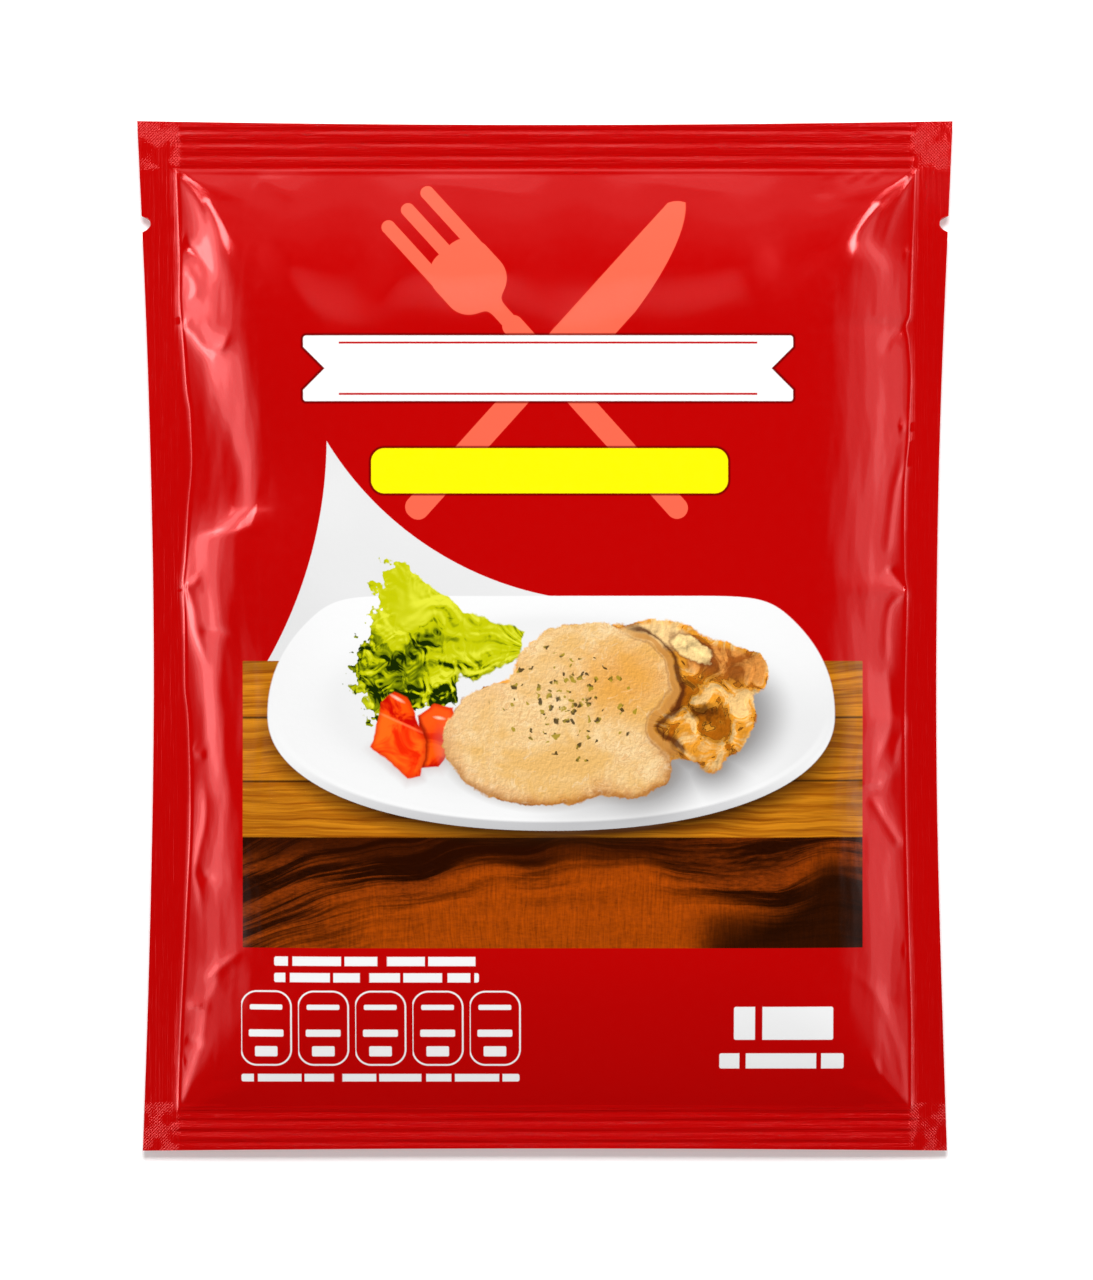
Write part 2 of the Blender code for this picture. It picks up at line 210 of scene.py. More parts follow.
# Streaks: depth, distance apart, lean and wander
STREAKS = ((0.020, 5.3, 0.16, 13.0), (0.010, 3.1, -0.10, 9.3), (0.004, 1.7, 0.05, 7.1))
STREAK_START = 1.5
STREAK_REACH = 22.0
STREAK_END = 80.0
STREAK_SWAY = 1.1
STREAK_FADE = 8.0
STREAK_END_FADE = 12.0
CREST_ROUNDING = 0.35
CURVE_STEPS = 8
FOLD_REACH = 3.5
FOLD_FULL_RISE = 0.8

# Grid of the front film; the back has every second line of it
SEAL_COLUMNS = 5
SEAM_COLUMNS = 9
SEAM_STEP = 0.16
SLOPE_COLUMNS = 40
SLOPE_STEP = 0.37
SHOULDER_COLUMNS = 10
SHOULDER_STEP = 1.2
CENTRE_COLUMNS = 32
TOP_SEAL_ROWS = 34
BOTTOM_SEAL_ROWS = 28
FILLED_ROWS = 408
BACK_STEP = 2
EDGE_ANGLE = math.radians(60)

# Places of the films in their UV map
UV_MARGIN = 0.004
FRONT_UV_WIDTH = 0.785
BACK_UV_START = 0.795
BACK_UV_WIDTH = 0.18
EDGE_UV_START = 0.982
EDGE_UV_WIDTH = 0.012

PHOTO_HEIGHT_PX = 1280
PHOTO_MM_PER_PX = 0.19608
PHOTO_CENTRE = (0.3, -0.8)
CAMERA_HEIGHT = 1600.0
SENSOR = 36.0

WORLD_LIGHT = 0.28
BACKDROP_LIGHT = 0.95
WALL_DISTANCE = 450.0
WALL_LENGTH = 900.0
WALL_FOOT = 60.0
WALL_ROW = 90.0
CORNER_DISTANCE = 330.0
CORNER_HEIGHT = 380.0
CORNER_SIZE = (180.0, 170.0)
CORNER_TARGET = (60.0, 80.0)
LEFT_CORNER_POWER = 1.1
RIGHT_CORNER_POWER = 1.5
WALL_SHARES = (2.3, 1.1, 0.60, 0.28, 0.11, 0.04)
LEFT_WALL_POWER = 0.95
RIGHT_WALL_POWER = 0.46
TOP_WALL_POWER = 0.32
KEY_PLACE = (0, 340, 880)
KEY_SIZE = (280, 280)
KEY_POWER = 9.9
FLOOR_HALF = 3000.0
FLOOR_WHITE = (0.9, 0.9, 0.9, 1)
FLOOR_GLOW = 0.28

heights = np.arange(-HALF_HEIGHT - 1, HALF_HEIGHT + 1, LINE_STEP)


def smooth(t):
    """Smoothstep: 3 t squared less 2 t cubed, held at 0 and 1 outside."""
    t = np.clip(t, 0, 1)
    return t * t * (3 - 2 * t)


def soft_minimum(a, b, softness):
    """The lower of a and b, with a parabola between them where they are within softness."""
    near = np.maximum(softness - np.abs(a - b), 0) / softness
    return np.minimum(a, b) - near**2 * softness / 4


def blurred(values, spread):
    """values along heights, averaged with a bell curve of that spread in millimetres."""
    reach = int(3 * spread / LINE_STEP) + 1
    offsets = np.arange(-reach, reach + 1) * LINE_STEP
    weights = np.exp(-0.5 * (offsets / spread) ** 2)
    return np.convolve(np.pad(values, reach, mode="edge"), weights / weights.sum(), "valid")


def line(points, softness):
    """Cubic Hermite curve through (height, distance) points, read at every one of heights.

    Each slope is the harmonic mean of the two neighbouring ones, or level at a turning point.
    """
    place, value = np.array(points).T
    chord = np.diff(value) / np.diff(place)
    before, after = np.append(chord[0], chord), np.append(chord, chord[-1])
    turning = before * after <= 0
    slope = np.where(turning, 0, 2 * before * after / np.where(turning, 1, before + after))
    k = np.clip(np.searchsorted(place, heights) - 1, 0, len(place) - 2)
    span = place[k + 1] - place[k]
    t = np.clip((heights - place[k]) / span, 0, 1)
    curve = value[k] * (1 + 2 * t) * (1 - t) ** 2 + value[k + 1] * t * t * (3 - 2 * t)
    curve += span * (slope[k] * t * (1 - t) ** 2 - slope[k + 1] * t * t * (1 - t))
    return blurred(curve, softness)


def half_width(y):
    """Half of the films' width at height y: a straight taper less a sine bow."""
    share = (HALF_HEIGHT - y) / (2 * HALF_HEIGHT)
    taper = TOP_HALF_WIDTH + (BOTTOM_HALF_WIDTH - TOP_HALF_WIDTH) * share
    return taper - SIDE_BOW * np.sin(math.pi * share)


class Side:
    """One side of the filling: its seam, crease and brow along heights, and the slope between them."""

    def __init__(self, seam, crease, brow, slopes):
        place, toe, band, turn = np.array(slopes).T
        self.toe_slope = line(tuple(zip(place, toe)), BROW_SOFTNESS)
        self.band_slope = line(tuple(zip(place, band)), BROW_SOFTNESS)
        self.turn = line(tuple(zip(place, turn)), BROW_SOFTNESS)
        self.seam = line(seam, CREASE_SOFTNESS)
        self.crease = np.maximum(line(crease, CREASE_SOFTNESS), LEAST_TOE)
        self.brow = np.maximum(line(brow, BROW_SOFTNESS), self.crease + LEAST_BAND)
        self.gained = self.toe_slope * self.crease + self.band_slope * (self.brow - self.crease) / BAND_POWER
        self.mean_seam = blurred(self.seam, CROWN_SOFTNESS)
        self.mean_crease = blurred(self.crease, CROWN_SOFTNESS)
        self.mean_gained = blurred(self.gained, CROWN_SOFTNESS)

    def seam_from_edge(self, y):
        """Width of the seal at height y: the straight seal, and how far its seam wanders in."""
        return SIDE_SEAL + np.interp(y, heights, self.seam)

    def rise(self, inward, y):
        """Height over the seal, at a distance inward from the seam.

        A toe of constant slope runs to the crease. Then comes a band that starts steep and levels out
        at the brow, and a gentle parabola up to the full rise. Past the brow, what the crease and the
        brow do at this height gives way to their average, so that no fold runs on over the crown.
        """
        lines = (self.crease, self.brow, self.gained, self.mean_crease, self.mean_gained)
        crease, brow, gained, mean_crease, mean_gained = (np.interp(y, heights, values) for values in lines)
        steady = inward + np.interp(y, heights, self.seam - self.mean_seam)
        inward = np.clip(inward, 0, None)
        turn = np.interp(y, heights, self.turn)
        toe = np.interp(y, heights, self.toe_slope) * soft_minimum(inward, crease, turn)
        past = inward - crease
        along = np.clip((past + np.sqrt(past**2 + turn**2)) / (2 * (brow - crease)), 0, 1)
        climb = np.interp(y, heights, self.band_slope) * (brow - crease)
        band = climb * (1 - (1 - along) ** BAND_POWER) / BAND_POWER
        onward = steady - mean_crease - GENTLE_START
        onward = (onward + np.sqrt(onward**2 + GENTLE_TURN**2)) / 2
        left_to_go = 1 - np.clip(onward / GENTLE_REACH, 0, 1)
        gentle = (FRONT_RISE - mean_gained) * (1 - left_to_go**2) * smooth(inward / FULL_TOE)
        evening = (mean_gained - gained) * smooth((inward - crease / 2 - EVENING_START) / EVENING_REACH)
        return toe + band + gentle + evening


left_side = Side(LEFT_SEAM, LEFT_CREASE, LEFT_BROW, LEFT_SLOPES)
right_side = Side(RIGHT_SEAM, RIGHT_CREASE, RIGHT_BROW, RIGHT_SLOPES)


def seal_plane(x, y):
    """Height of the middle of the seal band: level, drooping at the corners, waving along the sides."""
    corner = (x / TOP_HALF_WIDTH) ** 4 * (y / HALF_HEIGHT) ** 4
    wave = (x / TOP_HALF_WIDTH) ** 4 * np.sin(2 * math.pi * y / SEAL_WAVE_LENGTH + np.sign(x))
    return SEAL_LEVEL - CORNER_DROOP * corner + SEAL_WAVE * wave


def rib_wave(inward, pitch, seal):
    """A sine with an overtone, at a distance in from the edge, faded out at both edges of the seal."""
    turn = 2 * math.pi * inward / pitch
    wave = np.sin(turn) + RIB_OVERTONE * np.sin(2 * turn + 1)
    return wave * smooth(inward / SEAL_EDGE_FLAT - 0.5) * smooth((seal - inward) / SEAL_EDGE_FLAT)


def ribs(x, y):
    """Sine waves along the top and bottom seals, which end short of the side seals.

    Three slow sines across the pouch make each rib press deeper in some places than in others.
    """
    ends = np.clip((RIB_END - np.abs(x)) / RIB_FADE, 0, 1)
    row = np.round(y / BOTTOM_RIB_PITCH)
    uneven = 1 + sum(share * np.sin(slow * x + apart * row) for share, slow, apart in RIB_UNEVENNESS)
    top = rib_wave(HALF_HEIGHT - y, TOP_RIB_PITCH, TOP_SEAL)
    bottom = rib_wave(HALF_HEIGHT + y, BOTTOM_RIB_PITCH, BOTTOM_SEAL)
    return RIB_DEPTH * ends * (top + bottom) * uneven


def filled(x, y, left, right):
    """Rise of one film over the seal, and the distance in from the nearest seam.

    The two sides and the two ends each give a height; the lowest of them holds, rounded where two
    meet, which leaves ridges that run to the corners. The rounding is least at the corners and on
    the crown.
    """
    from_left = x + half_width(y) - left.seam_from_edge(y)
    from_right = half_width(y) - right.seam_from_edge(y) - x
    from_top = HALF_HEIGHT - TOP_SEAL - y
    from_bottom = y + HALF_HEIGHT - BOTTOM_SEAL
    across = soft_minimum(left.rise(from_left, y), right.rise(from_right, y), RIDGE_ROUNDING)
    reach = TOP_REACH * (1 + sum(share * np.sin(slow * x + start) for share, slow, start in TOP_REACH_WAVES))
    top = FRONT_RISE * (1 - (1 - np.clip(from_top / reach, 0, 1)) ** TOP_POWER)
    bottom = FRONT_RISE * (1 - (1 - np.clip(from_bottom / BOTTOM_REACH, 0, 1)) ** 2)
    ends = soft_minimum(top, bottom, RIDGE_ROUNDING)
    lower = np.clip(np.minimum(across, ends), 0, FRONT_RISE)
    at_seal = SEAL_ROUNDING[0] + SEAL_ROUNDING[1] * lower
    at_crown = CROWN_ROUNDING[0] + CROWN_ROUNDING[1] * (FRONT_RISE - lower)
    rise = soft_minimum(across, ends, np.minimum(at_seal, at_crown))
    inward = np.minimum(np.minimum(from_left, from_right), np.minimum(from_top, from_bottom))
    return np.where(inward > 0, np.maximum(rise, 0), 0), inward


def curve_through(points):
    """Points close together on a Catmull-Rom curve through the given ones."""
    knots = np.array(points)
    knots = np.vstack([2 * knots[0] - knots[1], knots, 2 * knots[-1] - knots[-2]])
    t = np.linspace(0, 1, CURVE_STEPS, endpoint=False)[:, None]
    pieces = [
        (2 * b + (c - a) * t + (2 * a - 5 * b + 4 * c - d) * t**2 + (3 * b - a - 3 * c + d) * t**3) / 2
        for a, b, c, d in zip(knots, knots[1:], knots[2:], knots[3:])
    ]
    return np.vstack(pieces + [knots[-2:-1]])


def fold(x, y, points, height, left_width, right_width, growing, dying):
    """One fold: height falls off with the distance from a curve, over its own width on either side.

    The distance d becomes sqrt(d squared + rounding squared) less the rounding, so that the crest is
    tight but not a knife edge, and the height is multiplied by e to the power of minus that distance
    over the width.
    """
    path = curve_through(points)
    legs = np.diff(path, axis=0)
    lengths = np.hypot(*legs.T)
    run = np.concatenate([[0], np.cumsum(lengths)])
    reach = FOLD_REACH * max(left_width, right_width)
    low, high = path.min(axis=0) - reach, path.max(axis=0) + reach
    near = (x > low[0]) & (x < high[0]) & (y > low[1]) & (y < high[1])
    px, py = x[near], y[near]
    nearest, side, share = np.full(px.shape, np.inf), np.zeros(px.shape), np.zeros(px.shape)
    for start, leg, length, before in zip(path, legs, lengths, run):
        ux, uy = leg / length
        rx, ry = px - start[0], py - start[1]
        along = np.clip(rx * ux + ry * uy, 0, length)
        distance = np.hypot(rx - along * ux, ry - along * uy)
        closer = distance < nearest
        nearest = np.where(closer, distance, nearest)
        side = np.where(closer, ux * ry - uy * rx, side)
        share = np.where(closer, (before + along) / run[-1], share)
    width = np.where(side > 0, left_width, right_width)
    away = np.sqrt(nearest**2 + CREST_ROUNDING**2) - CREST_ROUNDING
    taper = smooth(share / growing) if growing else 1
    taper = taper * (smooth((1 - share) / dying) if dying else 1)
    result = np.zeros(x.shape)
    result[near] = FOLD_SCALE * height * taper * np.exp(-away / width) * smooth((reach - nearest) / width)
    return result


def streaks(x, y, inward):
    """Shallow creases that run along the sides: sines over a place that leans and wanders with y."""
    height = sum(
        deep * np.sin(2 * math.pi * (x + lean * y + STREAK_SWAY * np.sin(y / wander)) / apart)
        for deep, apart, lean, wander in STREAKS
    )
    height = height * smooth(inward / STREAK_START) * smooth((STREAK_REACH - inward) / STREAK_FADE)
    return height * smooth((STREAK_END - np.abs(y)) / STREAK_END_FADE)


def front_height(x, y):
    """Height of the front film: the seal, its ribs, the filling's rise, the seam's bead and the folds.

    The bead is a bell curve over the distance in from the seam. Folds and streaks shrink in
    proportion where the rise is low.
    """
    rise, inward = filled(x, y, left_side, right_side)
    bead = BEAD_HEIGHT * np.exp(-(((inward - BEAD_PLACE) / BEAD_WIDTH) ** 2))
    folds = sum(fold(x, y, *values) for values in LEFT_FOLDS + RIGHT_FOLDS + TOP_FOLDS)
    folds = (folds + streaks(x, y, inward)) * np.clip(rise / FOLD_FULL_RISE, 0, 1)
    return seal_plane(x, y) + FILM_THICKNESS / 2 + ribs(x, y) + rise + bead + folds


def back_height(x, y):
    """The back hangs below the seals, its sides turned end for end, and lies flat underneath."""
    rise = filled(x, -y, right_side, left_side)[0]
    return np.maximum(seal_plane(x, y) - FILM_THICKNESS / 2 + ribs(x, y) - rise, 0)


def notched_half_width(y):
    """Half width of the films less the round bite of a tear notch."""
    bite = np.sqrt(np.maximum(NOTCH_RADIUS**2 - (y - NOTCH_Y) ** 2, 0)) + NOTCH_INSET
    return half_width(y) - np.where(np.abs(y - NOTCH_Y) < NOTCH_RADIUS, bite, 0)


def film_grid():
    """x and y of every point of the front film, a row of the grid for each height.

    Columns are close together on the slopes and follow the seams; rows are close on the ribs.
    """
    low = -HALF_HEIGHT + BOTTOM_SEAL
    high = HALF_HEIGHT - TOP_SEAL
    rows = np.concatenate([
        np.linspace(-HALF_HEIGHT, low, BOTTOM_SEAL_ROWS + 1),
        np.linspace(low, high, FILLED_ROWS + 1)[1:-1],
        np.linspace(high, HALF_HEIGHT, TOP_SEAL_ROWS + 1),
    ])
    y = rows[:, None]
    gaps = [SEAM_STEP] * SEAM_COLUMNS + [SLOPE_STEP] * SLOPE_COLUMNS + [SHOULDER_STEP] * SHOULDER_COLUMNS
    steps = np.concatenate([[0], np.cumsum(gaps)])
    edge = notched_half_width(y)
    left_seam = -half_width(y) + left_side.seam_from_edge(y)
    right_seam = half_width(y) - right_side.seam_from_edge(y)
    seal = np.linspace(0, 1, SEAL_COLUMNS + 1)[:-1]
    centre = np.linspace(0, 1, CENTRE_COLUMNS + 1)[1:-1]
    inner_left, inner_right = left_seam + steps[-1], right_seam - steps[-1]
    x = np.concatenate([
        -edge + (left_seam + edge) * seal,
        left_seam + steps,
        inner_left + (inner_right - inner_left) * centre,
        right_seam - steps[::-1],
        edge + (right_seam - edge) * seal[::-1],
    ], axis=1)
    y = np.broadcast_to(y, x.shape)
    bow = np.where(y > 0, TOP_BOW, BOTTOM_BOW)
    return x, y * (1 - bow / HALF_HEIGHT * (1 - (x / half_width(y)) ** 2))


def quads(numbers):
    """Corner numbers of the squares between neighbours on a grid of vertex numbers."""
    corners = (numbers[:-1, :-1], numbers[:-1, 1:], numbers[1:, 1:], numbers[1:, :-1])
    return np.stack(corners, axis=-1).reshape(-1, 4)


def border(numbers):
    """The vertex numbers round a grid, as one loop."""
    return np.concatenate([numbers[0, :-1], numbers[:-1, -1], numbers[-1, :0:-1], numbers[:0:-1, 0]])


def edge_strip(upper, lower):
    """Triangles between the front's border and the back's, and their places in the UV map.

    The back has every second line, so each of its edges meets two of the front's in three triangles.
    """
    k = np.arange(len(lower))
    here, middle, after = upper[0::2], upper[1::2], np.roll(upper[0::2], -1)
    below, below_after = lower, np.roll(lower, -1)
    share = k / len(lower)
    share_after = (k + 1) / len(lower)
    share_middle = (share + share_after) / 2
    faces = [(here, below, middle), (middle, below, below_after), (middle, below_after, after)]
    down = [(0, 1, 0), (0, 1, 1), (0, 1, 0)]
    along = [
        (share, share, share_middle),
        (share_middle, share, share_after),
        (share_middle, share_after, share_after),
    ]
    places = []
    for depths, shares in zip(down, along):
        u = np.stack([np.full(len(k), EDGE_UV_START + EDGE_UV_WIDTH * depth) for depth in depths], axis=-1)
        v = UV_MARGIN + (1 - 2 * UV_MARGIN) * np.stack(shares, axis=-1)
        places.append(np.stack([u, v], axis=-1))
    return [np.stack(face, axis=-1) for face in faces], places


def flat_uv(points, start, width):
    """UV places of points seen from above, the whole outline in a strip of the map."""
    u = start + width * (points[..., 0] / TOP_HALF_WIDTH + 1) / 2
    v = UV_MARGIN + (1 - 2 * UV_MARGIN) * (points[..., 1] / HALF_HEIGHT + 1) / 2
    return np.stack([u, v], axis=-1)


def pouch_mesh():
    """Front and back films as height fields over one grid, joined by a strip along their edge."""
    x, y = film_grid()
    front = np.stack([x, y, front_height(x, y)], axis=-1)
    back = front[::BACK_STEP, ::BACK_STEP].copy()
    back[..., 2] = back_height(back[..., 0], back[..., 1])
    points = np.concatenate([front.reshape(-1, 3), back.reshape(-1, 3)])
    front_numbers = np.arange(x.size).reshape(x.shape)
    back_numbers = x.size + np.arange(back[..., 0].size).reshape(back.shape[:2])
    front_faces = quads(front_numbers)
    back_faces = quads(back_numbers)[:, ::-1]
    strips, strip_places = edge_strip(border(front_numbers), border(back_numbers))
    faces = front_faces.tolist() + back_faces.tolist()
    for strip in strips:
        faces += strip.tolist()
    places = [
        flat_uv(points[front_faces], UV_MARGIN, FRONT_UV_WIDTH),
        flat_uv(points[back_faces], BACK_UV_START, BACK_UV_WIDTH),
        *strip_places,
    ]
    mesh = bpy.data.meshes.new("pouch_film")
    mesh.from_pydata(points * MM, [], faces)
    mesh.shade_smooth()
    mesh.set_sharp_from_angle(angle=EDGE_ANGLE)
    middles = points[front_faces].mean(axis=1)
    zone_numbers = np.zeros(len(faces), dtype=np.int32)
    for number, (low, high, reach, _) in enumerate(PRINT_ZONES.values(), start=1):
        inside = (middles[:, 1] > low) & (middles[:, 1] < high) & (np.abs(middles[:, 0]) < reach)
        zone_numbers[:len(front_faces)][inside] = number
    mesh.polygons.foreach_set("material_index", zone_numbers)
    layer = mesh.uv_layers.new(name="OFBake")
    layer.data.foreach_set("uv", np.concatenate([place.ravel() for place in places]))
    return mesh


class Wire:
    """An output socket; arithmetic on it adds Math nodes to its tree."""

    def __init__(self, tree, socket=None):
        self.tree = tree
        self.socket = socket

    def node(self, kind, settings, values, output=0):
        """Adds a node: its settings first, then a number, tuple or Wire for each of its sockets."""
        node = self.tree.nodes.new(kind)
        for key, value in settings.items():
            setattr(node, key, value)
        for key, value in values.items():
            if isinstance(value, Wire):
                self.tree.links.new(value.socket, node.inputs[key])
            else:
                node.inputs[key].default_value = value
        return Wire(self.tree, node.outputs[output])

    def math(self, operation, *others):
        """A Math node, with this value first and the others after it."""
        return self.node("ShaderNodeMath", {"operation": operation}, dict(enumerate((self, *others))))

    def vector(self, operation, *others):
        """A Vector Math node; a length, a distance and a dot product come out as numbers."""
        output = "Value" if operation in ("LENGTH", "DISTANCE", "DOT_PRODUCT") else "Vector"
        values = dict(enumerate((self, *others)))
        return self.node("ShaderNodeVectorMath", {"operation": operation}, values, output)

    def __add__(self, other):
        return self.math("ADD", other)

    def __sub__(self, other):
        return self.math("SUBTRACT", other)

    def __rsub__(self, other):
        return self.node("ShaderNodeMath", {"operation": "SUBTRACT"}, {0: other, 1: self})

    def __mul__(self, other):
        return self.math("MULTIPLY", other)

    def __truediv__(self, other):
        return self.math("DIVIDE", other)

    def __pow__(self, other):
        return self.math("POWER", other)

    def __abs__(self):
        return self.math("ABSOLUTE")

    __radd__ = __add__
    __rmul__ = __mul__


def least(first, *others):
    """The lowest of some values: of distances to shapes, the distance to all of them together."""
    for other in others:
        first = first.math("MINIMUM", other)
    return first


def most(first, *others):
    """The highest of some values: of distances to shapes, the distance to what they share."""
    for other in others:
        first = first.math("MAXIMUM", other)
    return first


def blend(first, second, softness):
    """The lower of two distances, rounded where they meet."""
    return first.math("SMOOTH_MIN", second, softness)


def step(value, low, high):
    """0 where value is at low, 1 at high and an S-curve between them."""
    settings = {"interpolation_type": "SMOOTHSTEP"}
    return value.node("ShaderNodeMapRange", settings, {0: value, 1: low, 2: high})


def ink(distance, softness=0.13):
    """1 inside a shape, given the distance outwards from its edge, and 0 outside."""
    settings = {"operation": "MULTIPLY_ADD", "use_clamp": True}
    return distance.node("ShaderNodeMath", settings, {0: distance, 1: -1 / softness, 2: 0.5})


def rgba(value):
    """A colour as a socket takes it: a Wire, or linear red, green and blue with full cover."""
    return value if isinstance(value, Wire) else (*value, 1)


def mix(factor, first, second):
    """A colour between first and second, each a Wire or a linear (red, green, blue)."""
    values = {0: factor, 6: rgba(first), 7: rgba(second)}
    return factor.node("ShaderNodeMix", {"data_type": "RGBA"}, values, 2)


def over(colour, *coats):
    """A ground with coats of colour on it: each is a mask and a colour, the last one on top."""
    for mask, coat in coats:
        colour = mix(mask, colour, coat)
    return colour


def scaled(vector, amount):
    """A vector or colour times a number; one of the two at least is a Wire."""
    wire = amount if isinstance(amount, Wire) else vector
    return wire.node("ShaderNodeVectorMath", {"operation": "SCALE"}, {0: vector, "Scale": amount})


def point(x, y):
    """The vector (x, y, 0), of which x at least is a Wire."""
    return x.node("ShaderNodeCombineXYZ", {}, {0: x, 1: y})


def parts(vector):
    """The x and y of a vector, or the red and green of a colour."""
    x = vector.node("ShaderNodeSeparateXYZ", {}, {0: vector})
    return x, Wire(x.tree, x.socket.node.outputs[1])


def turned(place, centre, degrees):
    """place as seen from a frame at centre that is turned anticlockwise."""
    from_centre = place.vector("SUBTRACT", (*centre, 0))
    settings = {"rotation_type": "Z_AXIS"}
    return place.node("ShaderNodeVectorRotate", settings, {0: from_centre, "Angle": math.radians(-degrees)})


def noise(place, scale, detail=2.0, roughness=0.5, distortion=0.0, shift=0.0):
    """Noise about 0.5 whose features are about 1 / scale across."""
    moved = place.vector("ADD", (shift, 0.7 * shift, 0))
    values = {"Vector": moved, "Scale": scale, "Detail": detail, "Roughness": roughness,
              "Distortion": distortion}
    return place.node("ShaderNodeTexNoise", {"noise_dimensions": "2D"}, values)


def drift(place, scale):
    """A vector that drifts about 0 in each direction, with features of about 1 / scale across."""
    values = {"Vector": place, "Scale": scale, "Detail": 1.0}
    colour = place.node("ShaderNodeTexNoise", {"noise_dimensions": "2D"}, values, "Color")
    return colour.vector("SUBTRACT", (0.5, 0.5, 0.5))


def lit_noise(place, away, *settings, shift=0.0):
    """Noise, and how much more there is of it than a small step away, which lights one side of it."""
    value = noise(place, *settings, shift=shift)
    return value, value - noise(place.vector("ADD", (*away, 0)), *settings, shift=shift)


def box(place, centre, half_size, radius):
    """Distance outwards from a rounded box."""
    corner = (half_size[0] - radius, half_size[1] - radius, 0)
    offset = place.vector("SUBTRACT", (*centre, 0)).vector("ABSOLUTE").vector("SUBTRACT", corner)
    return offset.vector("MAXIMUM", (0, 0, -1)).vector("LENGTH") - radius


def ellipse(place, centre, radii, degrees=0):
    """Distance outwards from an ellipse turned anticlockwise, right along its shorter axis."""
    if degrees:
        place, centre = turned(place, centre, degrees), (0, 0)
    offset = place.vector("SUBTRACT", (*centre, 0)).vector("DIVIDE", (*radii, 1))
    return (offset.vector("LENGTH") - 1) * min(radii)


def convex(place, corners):
    """Distance outwards from a polygon whose corners are given clockwise."""
    sides = []
    for (x, y), (x_after, y_after) in zip(corners, corners[1:] + corners[:1]):
        length = math.hypot(x_after - x, y_after - y)
        outwards = ((y - y_after) / length, (x_after - x) / length, 0)
        sides.append(place.vector("DOT_PRODUCT", outwards) - (x * outwards[0] + y * outwards[1]))
    return most(*sides)


def circle_through(first, second, third):
    """Centre and radius of the circle through three points, from their equal squared distances."""
    points = np.array([first, second, third])
    rows = 2 * (points[1:] - points[0])
    squares = (points**2).sum(axis=1)
    centre = np.linalg.solve(rows, squares[1:] - squares[0])
    return tuple(centre.tolist()), float(np.hypot(*(points[0] - centre)))


# Colours of the print, linear
FILM_RED = (0.53, 0.0002, 0.0002)
INK_WHITE = (0.80, 0.80, 0.80)
INK_YELLOW = (0.90, 0.76, 0.0)
INK_SALMON = (0.86, 0.12, 0.065)
INK_DARK_RED = (0.12, 0.0, 0.0)
SWOOSH_GREY = (0.66, 0.66, 0.66)
PLANK_BROWN = (0.33, 0.085, 0.001)
PLANK_GOLD = (0.62, 0.220, 0.007)
PLANK_STREAK = (0.15, 0.03, 0.0)
PLANK_JOINT = (0.030, 0.007, 0.0)
PLANK_EDGE = (0.09, 0.02, 0.001)
BOARD_BROWN = (0.026, 0.004, 0.0)
BOARD_STRIPE = (0.20, 0.029, 0.001)
BOARD_HEART = (0.34, 0.050, 0.0)
BOARD_TOP = (0.022, 0.003, 0.0)
BOARD_CORNER = (0.010, 0.002, 0.0)
PLATE_WHITE = (0.775, 0.775, 0.775)
PLATE_GREY = (0.46, 0.46, 0.47)
PLATE_SHADOW = (0.02, 0.006, 0.001)
LEAF_HOLLOW = (0.008, 0.020, 0.0)
LEAF_DARK = (0.15, 0.19, 0.0)
LEAF_GREEN = (0.48, 0.50, 0.0)
LEAF_BRIGHT = (0.68, 0.69, 0.035)
LEAF_RIM = (0.015, 0.040, 0.0)
SKIN_DEEP = (0.66, 0.002, 0.0)
SKIN_BRIGHT = (0.92, 0.085, 0.001)
CUT_DEEP = (0.84, 0.020, 0.0)
CUT_BRIGHT = (0.93, 0.125, 0.006)
TOMATO_FAR = (0.92, 0.085, 0.005)
TOMATO_RIDGE = (1.0, 0.30, 0.10)
TOMATO_RIM = (0.50, 0.002, 0.0)
TOMATO_FAR_RIM = (0.48, 0.002, 0.0)
TOMATO_GAP = (0.24, 0.001, 0.0)
TOMATO_SHADOW = (0.28, 0.08, 0.06)
TOMATO_GLINT = (0.95, 0.62, 0.45)
MEAT_TAN = (0.70, 0.41, 0.130)
MEAT_PALE = (0.79, 0.56, 0.280)
MEAT_WARM = (0.69, 0.30, 0.035)
MEAT_BROWNED = (0.50, 0.165, 0.012)
MEAT_RIM = (0.76, 0.50, 0.25)
MEAT_CRACK = (0.50, 0.18, 0.03)
MEAT_SHINE = (0.80, 0.62, 0.40)
MEAT_EDGE = (0.28, 0.09, 0.01)
LOBE_BROWN = (0.30, 0.080, 0.002)
LOBE_TAN = (0.60, 0.235, 0.018)
LOBE_PALE = (0.78, 0.48, 0.18)
LOBE_CREVICE = (0.045, 0.010, 0.001)
LOBE_SLIT = (0.050, 0.010, 0.001)
BONE_BROWN = (0.24, 0.062, 0.007)
BONE_TAN = (0.60, 0.230, 0.045)
KNUCKLE_LINE = (0.14, 0.035, 0.01)
KNUCKLE_PALE = (0.72, 0.50, 0.21)
FAT_PALE = (0.72, 0.47, 0.20)
FAT_TAN = (0.52, 0.23, 0.05)
FAT_DARK_LINE = (0.085, 0.018, 0.004)
FAT_BROWN_LINE = (0.25, 0.07, 0.012)
MEAT_SHADOW = (0.19, 0.18, 0.18)
MEAT_CONTACT = (0.24, 0.20, 0.17)
HERB_DARK = (0.030, 0.018, 0.003)
HERB_GREEN = (0.33, 0.235, 0.012)

# Places of the print
EMBLEM_CENTRE = (0.4, 53.1)
EMBLEM_TILT = 42
